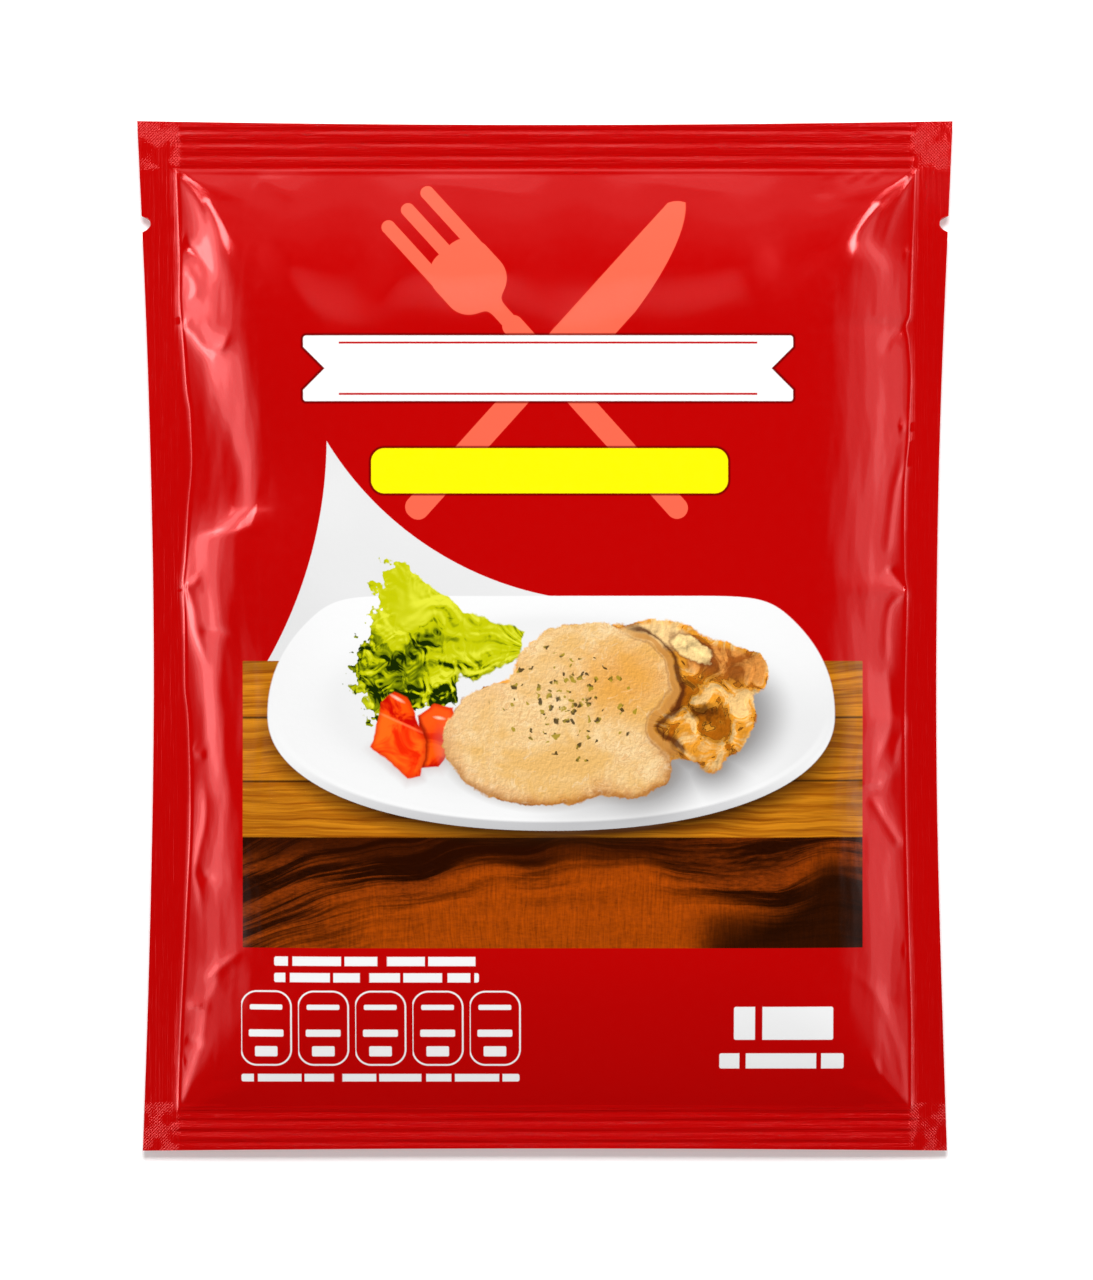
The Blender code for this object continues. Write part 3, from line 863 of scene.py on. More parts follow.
# Fork and knife, each along X of its own frame: centre, half size and corner radius of the boxes
FORK_HANDLE = ((-14.0, 0), (26.0, 2.1), 2.1)
FORK_NECK = ((8.0, 0), (14.0, 1.5), 1.5)
FORK_HEAD = ((23.0, 0), (7.0, 6.6), 5.0)
FORK_TINE = ((31.0, 0), (11.0, 1.35), 1.3)
TINE_PITCH = 5.1
KNIFE_GRIP = ((-20.0, 0), (20.0, 2.4), 2.2)
KNIFE_BLADE = ((22.0, -1.0), (20.0, 5.0), 4.6)
KNIFE_TIP = ((10.0, 4.0), (33.0, 10.4))
KNIFE_BACK = 3.6
CROSSING_GAP = 1.1
RIBBON_CENTRE = (0.6, 52.2)
RIBBON_HALF = (47.8, 6.4)
RIBBON_CORNER = 0.6
RIBBON_NOTCH = 4.2
RULE_INSET = 1.4
RULE_HALF_WIDTH = 0.2
RULE_END = 7.0
BAR_CENTRE = (0.9, 32.2)
BAR_HALF = (34.8, 4.4)
BAR_CORNER = 2.6
SWOOSH_TIP = (-42.6, 38.0)
SWOOSH_RIGHT = ((-22.5, 17.3), (2.0, 7.6))
SWOOSH_LEFT = ((-44.6, 20.0), (-54.3, -5.1))
PANEL_CENTRE = (1.5, -32.9)
PANEL_HALF = (60.6, 28.0)
WOOD_TOP = PANEL_CENTRE[1] + PANEL_HALF[1]
PLANK_JOINTS = (-15.9, -28.3)
PLANK_TOP_Y = -6.2
BOARD_TOP_Y = -39.3
BOARD_MIDDLE_X = 8.0
LIT_HEART = ((BOARD_MIDDLE_X, -59.0), (50.0, 13.0))
DARK_CORNER = ((58.0, -63.0), (28.0, 15.0))
PLATE_CENTRE = (1.2, -15.5)
PLATE_HALF = 55.4
PLATE_NEAR = 22.5
PLATE_FAR = 33.0
PLATE_TOP = 23.3
PLATE_POWER = 2.15
PLATE_THICKNESS = 1.7
PLATE_DISH = ((2.0, -14.0), (44.0, 17.5))
PLATE_SHADOW_SHIFT = (0.8, -2.2, 0)
STALK = (-2.0, -3.0, 0)
# Corners of the leaves, clockwise
LEAVES = (
    ((-29.5, 15.4), (-26.7, 13.9), (-14.5, 3.6), (-12.0, -2.0), (-22.0, -9.0), (-33.0, 0.0), (-33.3, 9.2)),
    ((-17.5, 5.2), (-3.8, 0.9), (-5.0, -4.0), (-14.0, -9.0), (-22.0, -4.0)),
    ((-33.9, 3.5), (-24.0, 2.0), (-16.0, -6.0), (-18.0, -13.0), (-33.8, -16.6), (-38.3, -7.0)),
)
# Ellipses on the food: centre, half lengths and turn
SHADED_HOLLOWS = (
    ((-25.5, -2.2), (4.6, 1.5), 38),
    ((-18.5, -11.6), (5.5, 1.8)),
    ((-27.0, -12.6), (3.6, 2.2)),
    ((-32.4, -12.6), (1.5, 3.4)),
)
WEDGE_GLINTS = (((-28.8, -12.2), (1.1, 0.25), -30), ((-20.6, -16.0), (0.8, 0.25), -10))
WARM_PATCH = ((16.0, -8.5), (11.0, 8.0))
EYE_LUMPS = (
    ((-0.4, -20.4), (19.6, 12.9)),
    ((8.8, -9.0), (15.6, 11.6)),
    ((10.3, -16.5), (10.4, 12.0)),
    ((15.7, -25.3), (9.6, 6.4)),
)
FAT_STRIP = ((20.6, -1.2), (10.0, 4.6))
SECOND_LOBE = ((30.0, -15.4), (11.4, 9.4))
LOBE_TAIL = ((32.4, -24.4), (2.6, 2.2))
LOBE_GUSSET = ((26.0, -8.0), (7.0, 6.5))
SLIT = ((31.0, -14.8), (2.8, 1.2))
KNUCKLE = ((28.6, -2.6), (4.2, 2.0), -32)
# The bone end is a rounded box, turned by some degrees
BONE_CENTRE = (35.4, -6.2)
BONE_TURN = -14
BONE_HALF = (8.4, 4.4)
BONE_CORNER = 3.4
# Corners of the tomato wedges, clockwise, and the line between skin and cut face
NEAR_WEDGE = (
    (-32.0, -13.0), (-29.4, -10.8), (-26.8, -11.9), (-22.9, -20.8), (-24.5, -27.2), (-26.8, -27.8),
    (-33.9, -21.6),
)
FAR_WEDGE = ((-24.8, -15.6), (-21.5, -13.2), (-18.0, -14.0), (-17.6, -20.0), (-20.6, -25.8), (-24.4, -25.6))
SKIN_EDGE_SLOPE = 0.45
SKIN_EDGE_DROP = 29.3
HERB_SCALE = 0.62
HERB_MIDDLE = (3.6, -12.8, 0)
HERB_SPREAD = (9.5, 7.5, 1)
# Small print as bars: left, right, bottom, top, length of a word and the gap after it
SMALL_BARS = (
    (-52.9, -12.7, -64.4, -62.6, 8.6, 1.0),
    (-52.9, -12.9, -67.6, -65.8, 7.2, 1.0),
    (-59.4, -5.0, -87.2, -85.7, 7.7, 0.9),
    (36.9, 56.3, -78.9, -72.4, 13.2, 1.6),
    (34.1, 58.4, -84.6, -81.6, 12.4, 1.4),
)
BOX_COUNT = 5
BOX_LEFT = -59.4
BOX_PITCH = 11.18
BOX_WIDTH = 9.8
BOX_TOP = -69.4
BOX_BOTTOM = -83.9
BOX_CORNER = 3.1
BOX_LINE_HALF = 0.16
BOX_BAR_CORNER = 0.3
WORD_CORNER = 0.4
# Bars in each box: bottom, top and half of the length
BOX_BARS = (
    (-73.0, -72.0, 3.2),
    (-78.3, -76.9, 3.4),
    (-82.2, -80.2, 2.2),
)


def print_emblem(place, colour):
    """A fork and a knife, crossed: rounded boxes in frames of their own, turned opposite ways."""
    fork = turned(place, EMBLEM_CENTRE, 90 + EMBLEM_TILT)
    along, across = parts(fork)
    handle, neck, head = (box(fork, *values) for values in (FORK_HANDLE, FORK_NECK, FORK_HEAD))
    spread = abs(abs(across) - TINE_PITCH / 2) - TINE_PITCH / 2
    tine = box(point(along, spread), *FORK_TINE)
    fork_shape = least(blend(least(handle, neck), head, 3.0), tine)
    knife = turned(place, EMBLEM_CENTRE, 90 - EMBLEM_TILT)
    blade = most(box(knife, *KNIFE_BLADE), ellipse(knife, *KNIFE_TIP), parts(knife)[1] - KNIFE_BACK)
    knife_shape = least(box(knife, *KNIFE_GRIP), blade)
    gap = ink(fork_shape - CROSSING_GAP)
    mask = most(ink(fork_shape), ink(knife_shape) * (1 - gap))
    return mix(mask * 0.97, colour, INK_SALMON)


def print_ribbons(place, colour):
    """A blank white ribbon with forked ends, and a blank yellow bar under it."""
    along, across = parts(place)
    from_middle = abs(across - RIBBON_CENTRE[1])
    from_end = RIBBON_HALF[0] - abs(along - RIBBON_CENTRE[0])
    notch = RIBBON_NOTCH - from_end - from_middle
    ribbon = most(box(place, RIBBON_CENTRE, RIBBON_HALF, RIBBON_CORNER), notch * 0.7)
    bar = box(place, BAR_CENTRE, BAR_HALF, BAR_CORNER)
    rule = most(abs(from_middle - RIBBON_HALF[1] + RULE_INSET) - RULE_HALF_WIDTH, RULE_END - from_end)
    return over(
        colour,
        (ink(least(ribbon, bar) - 0.45, 0.3) * 0.8, INK_DARK_RED),
        (ink(ribbon), INK_WHITE),
        (ink(rule), FILM_RED),
        (ink(bar), INK_YELLOW),
    )


def print_swoosh(place, colour):
    """A pale wedge between two arcs that comes to a tip at the top."""
    along, across = parts(place)
    arcs = (circle_through(SWOOSH_TIP, *SWOOSH_RIGHT), circle_through(SWOOSH_TIP, *SWOOSH_LEFT))
    outside = most(
        *(radius - place.vector("DISTANCE", (*centre, 0)) for centre, radius in arcs),
        across - SWOOSH_TIP[1],
        along - SWOOSH_RIGHT[1][0] - 4,
        WOOD_TOP - across,
    )
    return mix(ink(outside), colour, scaled(SWOOSH_GREY, noise(place, 0.04, 1.0) * 0.12 + 0.94))


def planks(place):
    """Colour of the planks: noise drawn out along X, over places that a slow noise warps."""
    along, across = parts(place)
    warp = noise(place, 0.035, 2.0, shift=20.0)
    lower, upper = (step(across, height - 0.1, height + 0.1) for height in PLANK_JOINTS[::-1])
    plank = lower + upper
    bands = noise(point(along * 0.045 + plank * 7.0, across * 1.5 + warp * 6.0), 0.55, 5.0, 0.62, 0.5)
    fibres = noise(point(along * 0.10, across * 4.6), 1.0, 3.0, 0.65, shift=7.0)
    streak = noise(point(along * 0.022, across * 0.75 + warp * 3.0), 1.0, 3.0, 0.6, shift=15.0)
    joint = least(*(abs(across - height + warp * 0.5 - 0.25) for height in PLANK_JOINTS))
    wood = mix(step(bands, 0.32, 0.70), PLANK_BROWN, PLANK_GOLD)
    return over(
        scaled(wood, 0.56 + fibres * 0.66 + plank * 0.06),
        (step(streak, 0.56, 0.72) * 0.6, PLANK_STREAK),
        (ink(joint - 0.2, 0.34) * 0.9, PLANK_JOINT),
        (step(across, PLANK_TOP_Y - 1.5, PLANK_TOP_Y) * 0.45, PLANK_EDGE),
    )


def dark_board(place):
    """Colour of the dark board: stripes bent over a lit heart, fine curls and speckle, dark at the top.

    The stripes follow a rise that levels out to the right as 1 less e to the power of minus x.
    """
    along, across = parts(place)
    wave = noise(place, 0.045, 1.0, shift=50.0)
    rise = 15.0 * (1 - ((along + 60.0) * -0.034).math("EXPONENT"))
    swirl = point(along * 0.03, (across - rise) * 0.62 + wave * 4.2)
    stripes = noise(swirl, 0.62, 5.0, 0.64, 0.35, shift=3.0)
    heart = ellipse(place, *LIT_HEART) + (wave - 0.5) * 24.0
    lit = step(heart + (stripes - 0.5) * -14.0, 6.0, -5.0)
    curl = noise(point(along * 2.3 + wave * 6.0, across * 0.22), 1.0, 3.0, 0.6, 0.5)
    speckle = noise(point(along * 0.6, across * 1.8), 1.0, 3.0, 0.75, shift=33.0)
    top = step(across + (wave - 0.5) * 9.0 - abs(along - BOARD_MIDDLE_X) * 0.05, -48.5, -43.5)
    corner = step(ellipse(place, *DARK_CORNER) + (wave - 0.5) * 16.0, 4.0, -5.0)
    wood = mix(lit * 0.85, mix(step(stripes, 0.42, 0.60), BOARD_BROWN, BOARD_STRIPE), BOARD_HEART)
    return over(
        scaled(wood, 0.05 + lit * 0.10 + curl * (0.30 + lit * 0.75) + speckle * (1.35 - lit * 0.60)),
        (top * (0.80 - step(along, 18.0, 40.0) * 0.5), BOARD_TOP),
        (corner * 0.94, BOARD_CORNER),
    )


def wood_panel(place, colour):
    """Pale planks above a dark board."""
    board = ink(parts(place)[1] - BOARD_TOP_Y, 0.25)
    panel = box(place, PANEL_CENTRE, PANEL_HALF, 0.15)
    return mix(ink(panel), colour, mix(board, planks(place), dark_board(place)))


def plate_shape(place):
    """Distance outwards from the plate's outline.

    Below the middle it is a superellipse. Above, a taller one is cut off level by the far rim.
    """
    along, across = parts(place.vector("SUBTRACT", (*PLATE_CENTRE, 0)))
    height = across.math("GREATER_THAN", 0.0) * (PLATE_FAR - PLATE_NEAR) + PLATE_NEAR
    powers = abs(along / PLATE_HALF) ** PLATE_POWER + abs(across / height) ** PLATE_POWER
    outwards = (powers ** (1 / PLATE_POWER) - 1) * 26.0
    return outwards.math("SMOOTH_MAX", across - PLATE_TOP, 4.0)


def print_plate(place, colour):
    """A white plate: its shadow, its thick near side, its lip and a shallow dish."""
    along, across = parts(place)
    shadow = plate_shape(place.vector("SUBTRACT", PLATE_SHADOW_SHIFT))
    top = plate_shape(place.vector("SUBTRACT", (0, PLATE_THICKNESS, 0)))
    side = mix(step(across, -40.0, -22.0), PLATE_GREY, PLATE_WHITE)
    dish = ellipse(place, *PLATE_DISH)
    well = step(dish, 1.5, -1.0) * 0.05 + step(dish, 3.5, 0.0) * 0.03
    right = step(along, 34.0, 52.0) * step(across, -2.0, -20.0) * 0.08
    lip = ink(abs(top + 0.45) - 0.35, 0.4) * step(across, -12.0, -24.0)
    face = mix(lip * 0.6, scaled(PLATE_WHITE, 1.0 - well - right), INK_WHITE)
    return over(
        colour,
        (ink(shadow, 3.4) * 0.85 * step(across, -5.0, -15.0), PLATE_SHADOW),
        (ink(plate_shape(place)), mix(ink(top, 0.5), side, face)),
    )


def lettuce(place, colour):
    """Frilled leaves: three ragged polygons, their folds fanned out from the stalk and lit from above."""
    along, across = parts(place)
    rough = step(along + across * 0.35, -16.0, -27.0)
    ragged = (noise(place, 0.36, 2.0, 0.5) - 0.5) * (1.6 + rough * 5.0)
    ragged = ragged + (noise(place, 1.1, 1.0) - 0.5) * rough * 1.6
    outline = ragged + least(*(convex(place, corners) for corners in LEAVES))
    from_stalk = place.vector("SUBTRACT", STALK)
    stalk_along, stalk_across = parts(from_stalk)
    angle = stalk_across.math("ARCTAN2", stalk_along * -1.0)
    fan = point(angle * 3.6 + noise(place, 0.10, 1.0, shift=12.0) * 1.9, from_stalk.vector("LENGTH") * 0.06)
    folds, fold_light = lit_noise(fan, (0.16, 0), 1.0, 2.0, 0.5)
    frill, frill_light = lit_noise(place, (0.35, 0.6), 0.36, 2.0, 0.5, 1.3, shift=9.0)
    sunny = step(across + along * 0.30, -15.5, -1.0)
    outer = step(outline, -6.0, -0.5) * (0.8 - sunny * 0.45) + (1 - sunny) * 0.50
    tone = 0.54 + sunny * 0.10 + fold_light * 1.5 + (folds - 0.5) * 0.9 + frill_light * 1.5 * outer
    hollow = least(*(ellipse(place, *values) for values in SHADED_HOLLOWS))
    tone = tone - step(hollow + (frill - 0.5) * 5.0, 1.2, -1.0) * 0.45
    leaf = over(
        mix(step(tone, 0.0, 0.30), LEAF_HOLLOW, LEAF_DARK),
        (step(tone, 0.24, 0.56), LEAF_GREEN),
        (step(tone, 0.60, 1.0), LEAF_BRIGHT),
        (step(outline, -1.2, -0.2) * (1 - sunny) * 0.4, LEAF_RIM),
    )
    return mix(ink(outline, 0.3), colour, leaf)


def tomato(place, colour):
    """Two wedges of tomato, the near one with its skin above a paler cut face."""
    along, across = parts(place)
    wobble = (noise(place, 0.22, 2.0) - 0.5) * 1.3
    front, back = (convex(place, corners) + wobble for corners in (NEAR_WEDGE, FAR_WEDGE))
    soft = noise(place, 0.17, 3.0, 0.6, 0.6, shift=11.0)
    skin = mix(step(soft, 0.38, 0.62), SKIN_DEEP, SKIN_BRIGHT)
    cut = mix(step(soft, 0.36, 0.64), CUT_DEEP, CUT_BRIGHT)
    ridge = across + along * SKIN_EDGE_SLOPE + SKIN_EDGE_DROP
    near = over(
        mix(step(ridge, -0.35, 0.35), cut, skin),
        (ink(abs(ridge + 0.3) - 0.15, 0.5) * 0.55, TOMATO_RIDGE),
        (step(front, -1.3, 0.0) * 0.55, TOMATO_RIM),
    )
    far = over(
        mix(step(across + wobble * 2.0, -21.0, -16.0), skin, TOMATO_FAR),
        (step(back, -1.2, 0.0) * 0.6, TOMATO_FAR_RIM),
    )
    glint = least(*(ellipse(place, *values) for values in WEDGE_GLINTS))
    return over(
        colour,
        (ink(least(front, back) - 0.6, 2.6) * step(across, -19.0, -26.0) * 0.4, TOMATO_SHADOW),
        (ink(back, 0.3), far),
        (ink(front - 0.7, 0.8) * ink(back, 0.3) * 0.75, TOMATO_GAP),
        (ink(front, 0.3), near),
        (ink(glint, 0.4) * 0.8, TOMATO_GLINT),
    )


def loin(place, inner, crumbs, relief):
    """Colour of the round eye of meat: mottled tan, browned below, with cracks across its fibres."""
    along, across = parts(place)
    mottle = noise(place, 0.09, 3.0, 0.6, 0.4, shift=13.0)
    browned = step(inner + crumbs * 2.0, -3.4, 0.4) * step(across + along * 0.12, -12.0, -27.0)
    fibres = turned(place.vector("ADD", scaled(drift(place, 0.35), 5.0)), (0, 0), 35)
    cracks = noise(fibres.vector("MULTIPLY", (0.45, 1.0, 1)), 0.55, 4.0, 0.7, 0.8, shift=61.0)
    meat = over(
        mix(step(mottle, 0.34, 0.66), MEAT_TAN, MEAT_PALE),
        (step(ellipse(place, *WARM_PATCH), 3.0, -6.0) * 0.75, MEAT_WARM),
        (browned * 0.75, MEAT_BROWNED),
        (step(inner, -4.5, -0.8) * step(along, 0.0, -14.0) * 0.5, MEAT_RIM),
        (step(abs(cracks - 0.5), 0.045, 0.0) * step(mottle, 0.36, 0.62) * 0.42, MEAT_CRACK),
        (step(cracks, 0.58, 0.74) * 0.45, MEAT_SHINE),
    )
    return scaled(meat, 0.99 + relief), mottle


def lobes(place, bone, strip, crumbs, wobble, relief):
    """Colour of what lies right of the fat line: lumps of meat, the bone end, fat and the knuckle."""
    along, across = parts(place)
    lumps, lump_light = lit_noise(place, (-0.5, 0.9), 0.21, 3.0, 0.60, 0.8, shift=41.0)
    slit = ellipse(place, *SLIT) + crumbs * 2.0
    knuckle = ellipse(place, *KNUCKLE) + crumbs * 0.9 + wobble * 0.4
    brown = mix(step(lumps, 0.42, 0.60), BONE_BROWN, BONE_TAN)
    meat = over(
        mix(step(lumps, 0.36, 0.48), LOBE_BROWN, LOBE_TAN),
        (step(lumps, 0.50, 0.64), LOBE_PALE),
        (step(abs(lumps - 0.43), 0.028, 0.005) * 0.75, LOBE_CREVICE),
        (step(slit, 0.9, -0.6) * 0.85, LOBE_SLIT),
        (ink(bone + 0.6 + crumbs, 1.0) * step(across + along * 0.24, -1.6, 1.8), brown),
        (ink(strip + 1.0, 0.8) * step(across, -3.6, -1.2), FAT_PALE),
        (ink(abs(knuckle) - 0.35, 0.6) * 0.8, KNUCKLE_LINE),
        (ink(knuckle, 0.4), KNUCKLE_PALE),
    )
    return scaled(meat, 1.08 + relief + lump_light * -1.6)


def herbs(place):
    """Distance outwards from flakes of herb: one in some of the cells of a random pattern."""
    bent = place.vector("ADD", scaled(drift(place, 0.8), 1.4))
    settings = {"voronoi_dimensions": "2D", "feature": "F1"}
    values = {"Vector": bent, "Scale": HERB_SCALE, "Randomness": 1.0}
    distance = place.node("ShaderNodeTexVoronoi", settings, values, "Distance")
    cell = Wire(place.tree, distance.socket.node.outputs["Color"])
    chance, size = parts(cell)
    spread = place.vector("SUBTRACT", HERB_MIDDLE).vector("DIVIDE", HERB_SPREAD).vector("LENGTH")
    kept = (chance + spread * 0.62).math("LESS_THAN", 1.02)
    return distance / HERB_SCALE - (0.22 + size * 0.42) * kept + (1 - kept)


def chop(place, colour):
    """A cooked loin chop: a round eye of meat, a fat line round its right side, bone and a second lobe."""
    along, across = parts(place)
    wobble = (noise(place, 0.10, 2.0, shift=31.0) - 0.5) * 3.2
    crumbs = (noise(place, 0.55, 2.0, 0.6, shift=5.0) - 0.5) * 1.1
    relief = lit_noise(place, (0.16, -0.22), 1.25, 2.0, 0.65, 0.3)[1] * 0.55
    left, upper, middle, lower = (ellipse(place, *values) for values in EYE_LUMPS)
    eye = blend(blend(blend(left, upper, 4.0), middle, 3.0), lower, 3.0)
    strip = ellipse(place, *FAT_STRIP)
    bone = box(turned(place, BONE_CENTRE, BONE_TURN), (0, 0), BONE_HALF, BONE_CORNER)
    lobe = ellipse(place, *SECOND_LOBE)
    tail = ellipse(place, *LOBE_TAIL)
    gusset = ellipse(place, *LOBE_GUSSET)
    rest = least(blend(blend(strip, bone, 2.0), blend(lobe, tail, 2.0), 1.5), gusset)
    inner = eye + wobble
    whole = blend(eye, rest, 1.5) + wobble * 0.6 + crumbs

    meat, mottle = loin(place, inner, crumbs, relief)
    second = lobes(place, bone, strip, crumbs, wobble, relief)
    seam = inner - 0.5 + crumbs * 0.5
    right_side = step(along + across * -0.15, 13.0, 19.0) * step(across, -25.5, -21.5)
    herb = mix(step(noise(place, 0.5, 1.0, shift=77.0), 0.42, 0.58), HERB_DARK, HERB_GREEN)
    food = over(
        mix(ink(inner, 0.4), second, meat),
        (ink(abs(seam) - 0.6, 0.5) * right_side * 0.9, FAT_TAN),
        (ink(abs(seam - 1.05) - mottle * 1.3 + 0.25, 0.5) * right_side * 0.9, FAT_DARK_LINE),
        (ink(abs(seam + 0.9) - 0.12, 0.4) * right_side * 0.6, FAT_BROWN_LINE),
        (step(whole, -1.6, 0.0) * step(across, -16.0, -30.0) * 0.6, MEAT_EDGE),
        (ink(herbs(place), 0.2) * 0.9, herb),
    )
    near = least(eye, lobe, tail)
    shadow = step(near, 7.0, -1.0) * step(along - across * 0.6, 14.0, 44.0) * step(across, -1.0, -12.0)
    return over(
        colour,
        (shadow * 0.85, MEAT_SHADOW),
        (ink(near - 0.4, 2.0) * step(across, -14.0, -24.0) * 0.45, MEAT_CONTACT),
        (ink(whole, 0.3), food),
    )


def word_bars(place, left, right, bottom, top, word, gap):
    """A line of short plain bars, as long as words, between left and right."""
    run = parts(place)[0] - left
    turn = run + (run * (3.7 / word)).math("SINE") * (word * 0.14)
    broken = turn.math("PINGPONG", word / 2) - (word / 2 - gap / 2)
    middle = ((left + right) / 2, (bottom + top) / 2)
    half = ((right - left) / 2, (top - bottom) / 2)
    return most(box(place, middle, half, min(half[1], WORD_CORNER)), broken)


def print_small_marks(place, colour):
    """Plain bars where a pack has its small print, and five outlined boxes with bars in them."""
    along, across = parts(place)
    run = along - BOX_LEFT
    cell = point(run.math("WRAP", BOX_PITCH, 0.0), across)
    row_end = BOX_PITCH * (BOX_COUNT - 1) + BOX_WIDTH
    within = most(run * -1.0 - 0.5, run - row_end - 0.5, BOX_BOTTOM - 1 - across, across - BOX_TOP - 1)
    middle = (BOX_WIDTH / 2, (BOX_TOP + BOX_BOTTOM) / 2)
    half_box = (BOX_WIDTH / 2, (BOX_TOP - BOX_BOTTOM) / 2)
    outline = abs(box(cell, middle, half_box, BOX_CORNER)) - BOX_LINE_HALF
    for bottom, top, half in BOX_BARS:
        centre = (middle[0], (bottom + top) / 2)
        outline = least(outline, box(cell, centre, (half, (top - bottom) / 2), BOX_BAR_CORNER))
    marks = [word_bars(place, *values) for values in SMALL_BARS]
    return mix(ink(least(*marks, most(outline, within))), colour, INK_WHITE)


# Zones of the front: lowest and highest y, half width, and the layers printed there in their order
PRINT_ZONES = {
    "film_top": (18.5, 92.0, 63.5, (print_emblem, print_ribbons, print_swoosh)),
    "film_picture": (-41.5, 18.5, 63.5, (print_swoosh, wood_panel, print_plate, lettuce, tomato, chop)),
    "film_board": (-61.4, -41.5, 63.5, (wood_panel,)),
    "film_foot": (-92.0, -61.4, 63.5, (print_small_marks,)),
}


# Finish of the film
FILM_METALLIC = 0.17
FILM_SPECULAR = 0.25
LEAST_ROUGHNESS = 0.12
ROUGHNESS_SPREAD = 0.12
COAT = {"Coat Weight": 0.5, "Coat Roughness": 0.13, "Coat IOR": 1.5}
TEXTURE_DEPTH = 0.03
DRAWN_DEPTH = 0.16
PRESSED_DEPTH = 0.22
KNURL_DEPTH = 0.08
KNURL_PITCH = 0.62
KNURL_FROM = 91.0


def film_relief(place, seals):
    """Height in millimetres of the film's fine texture, with what the sealing jaws left on the seals."""
    relief = noise(place, 0.45, 3.0, 0.6) * TEXTURE_DEPTH
    if not seals:
        return relief
    along, across = parts(place)
    on_side = step(abs(along), 71.0, 72.0)
    on_end = step(abs(across), 91.5, 92.5) * (1 - on_side)
    drawn = noise(point(along * 1.5, across * 0.03), 1.0, 3.0, 0.7, shift=3.0)
    pressed = noise(point(along * 0.05, across * 1.9), 1.0, 3.0, 0.7, shift=9.0)
    turn = 2 * math.pi / KNURL_PITCH
    knurl = (along * turn).math("SINE") * (across * turn).math("SINE")
    corner = step(abs(across), KNURL_FROM, KNURL_FROM + 1.0) * on_side
    patch = corner * step(noise(place, 0.25, 1.0, shift=5.0), 0.35, 0.6)
    relief = relief + on_side * drawn * DRAWN_DEPTH + on_end * pressed * PRESSED_DEPTH
    return relief + patch * knurl * KNURL_DEPTH


def film_material(name, layers):
    """Glossy laminate: the print is layers of plain shapes and noise over red.

    The red is a little metallic and the inks over it aren't, and they are told apart by their green.
    """
    material = bpy.data.materials.new(name)
    material.use_nodes = True
    where = Wire(material.node_tree).node("ShaderNodeTexCoord", {}, {}, "Object")
    along, across = parts(scaled(where, 1 / MM))
    place = point(along, across)
    colour = FILM_RED
    for layer in layers:
        colour = layer(place, colour)
    metal = FILM_METALLIC
    if layers:
        green = colour.node("ShaderNodeSeparateColor", {}, {0: colour}, 1)
        metal = step(green, 0.04, 0.002) * FILM_METALLIC
    relief = film_relief(place, seals=not layers)
    finish = {
        "Base Color": rgba(colour),
        "Metallic": metal,
        "Roughness": noise(place, 0.5, 3.0, 0.6, shift=17.0) * ROUGHNESS_SPREAD + LEAST_ROUGHNESS,
        "Specular IOR Level": FILM_SPECULAR,
        "Normal": relief.node("ShaderNodeBump", {}, {"Strength": 1.0, "Distance": MM, "Height": relief}),
        **COAT,
    }
    surface = material.node_tree.nodes["Principled BSDF"]
    for socket, value in finish.items():
        if isinstance(value, Wire):
            material.node_tree.links.new(value.socket, surface.inputs[socket])
        else:
            surface.inputs[socket].default_value = value
    return material


def make_pouch():
    """The film as one piece, which stands for the solid and has a material for each print zone."""
    pouch = bpy.data.objects.new("pouch_film", pouch_mesh())
    bpy.context.scene.collection.objects.link(pouch)
    pouch.data.materials.append(film_material("film_plain", ()))
    for name, zone in PRINT_ZONES.items():
        pouch.data.materials.append(film_material(name, zone[3]))
    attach(pouch, "root")
    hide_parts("pouch")
    return pouch


def softbox(name, place, target, size, strength, glossy=True, diffuse=True):
    """A rectangular area lamp of size (width, height) that faces target."""
    lamp = bpy.data.lights.new(name, "AREA")
    lamp.shape = "RECTANGLE"
    lamp.size, lamp.size_y = size[0] * MM, size[1] * MM
    lamp.energy = strength
    holder = bpy.data.objects.new(name, lamp)
    holder.location = Vector(place) * MM
    holder.rotation_euler = (Vector(target) - Vector(place)).to_track_quat("-Z", "Y").to_euler()
    holder.visible_camera = False
    holder.visible_glossy = glossy
    holder.visible_diffuse = diffuse
    bpy.context.scene.collection.objects.link(holder)
    return holder


def lamp_wall(name, direction, strength):
    """A wall of lamps to one side, dimmer row by row towards its top."""
    for row, share in enumerate(WALL_SHARES):
        place = (direction[0] * WALL_DISTANCE, direction[1] * WALL_DISTANCE, WALL_FOOT + row * WALL_ROW)
        size = (WALL_LENGTH, WALL_ROW)
        softbox(f"{name}_{row}", place, (0, 0, 0), size, strength * share, diffuse=False)


def corner_lamp(name, side, power):
    """A narrow lamp high beyond one of the top corners."""
    place = (side * CORNER_DISTANCE, CORNER_DISTANCE, CORNER_HEIGHT)
    target = (side * CORNER_TARGET[0], CORNER_TARGET[1], 0)
    softbox(name, place, target, CORNER_SIZE, power, diffuse=False)


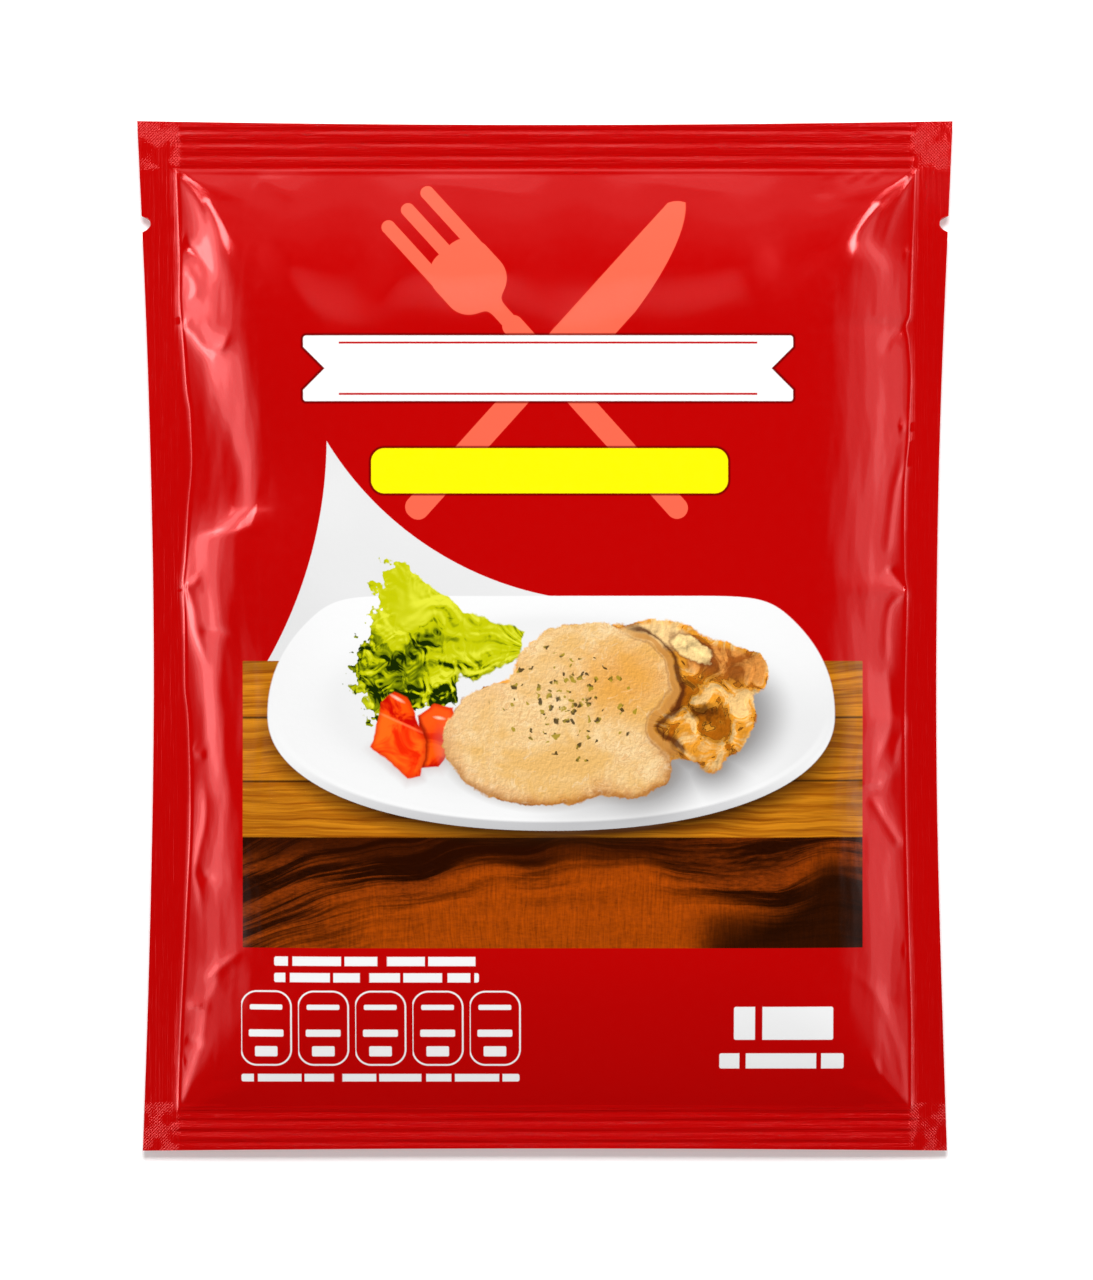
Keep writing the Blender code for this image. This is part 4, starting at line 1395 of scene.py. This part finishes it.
def make_light():
    """Lamp walls and corner lamps that only show in the film, an overhead key and a pale world."""
    lamp_wall("left_wall", (-1, 0), LEFT_WALL_POWER)
    lamp_wall("right_wall", (1, 0), RIGHT_WALL_POWER)
    lamp_wall("top_wall", (0, 1), TOP_WALL_POWER)
    corner_lamp("left_corner", -1, LEFT_CORNER_POWER)
    corner_lamp("right_corner", 1, RIGHT_CORNER_POWER)
    softbox("overhead_key", KEY_PLACE, (0, 0, 0), KEY_SIZE, KEY_POWER, glossy=False)
    world = bpy.data.worlds.new("studio")
    world.use_nodes = True
    nodes, links = world.node_tree.nodes, world.node_tree.links
    rays = nodes.new("ShaderNodeLightPath")
    dim = nodes.new("ShaderNodeMapRange")
    dim.inputs["To Min"].default_value = WORLD_LIGHT
    dim.inputs["To Max"].default_value = 0.0
    links.new(rays.outputs["Is Glossy Ray"], dim.inputs["Value"])
    lift = nodes.new("ShaderNodeMath")
    lift.operation = "MULTIPLY_ADD"
    lift.inputs[1].default_value = BACKDROP_LIGHT - WORLD_LIGHT
    links.new(rays.outputs["Is Camera Ray"], lift.inputs[0])
    links.new(dim.outputs["Result"], lift.inputs[2])
    background = nodes["Background"]
    background.inputs["Color"].default_value = (1, 1, 1, 1)
    links.new(lift.outputs["Value"], background.inputs["Strength"])
    bpy.context.scene.world = world
    bpy.context.scene.view_settings.view_transform = "Standard"


def make_floor():
    """A wide matt white floor under the pouch, which glows a little."""
    mesh = bpy.data.meshes.new("floor")
    half = FLOOR_HALF * MM
    corners = [(-half, -half, 0), (half, -half, 0), (half, half, 0), (-half, half, 0)]
    mesh.from_pydata(corners, [], [(0, 1, 2, 3)])
    floor = bpy.data.objects.new("floor", mesh)
    bpy.context.scene.collection.objects.link(floor)
    material = bpy.data.materials.new("floor_white")
    material.use_nodes = True
    surface = material.node_tree.nodes["Principled BSDF"]
    surface.inputs["Base Color"].default_value = FLOOR_WHITE
    surface.inputs["Roughness"].default_value = 0.9
    surface.inputs["Emission Color"].default_value = (1, 1, 1, 1)
    surface.inputs["Emission Strength"].default_value = FLOOR_GLOW
    mesh.materials.append(material)


def make_camera():
    """Looks straight down, so far away that the view is nearly parallel."""
    lens = bpy.data.cameras.new("camera")
    lens.sensor_fit = "VERTICAL"
    lens.sensor_height = SENSOR
    distance = CAMERA_HEIGHT - SEAL_LEVEL
    lens.lens = SENSOR * distance / (PHOTO_HEIGHT_PX * PHOTO_MM_PER_PX)
    lens.clip_start = 0.01
    camera = bpy.data.objects.new("camera", lens)
    camera.location = Vector((*PHOTO_CENTRE, CAMERA_HEIGHT)) * MM
    bpy.context.scene.collection.objects.link(camera)
    bpy.context.scene.camera = camera


make_pouch()
make_floor()
make_light()
make_camera()
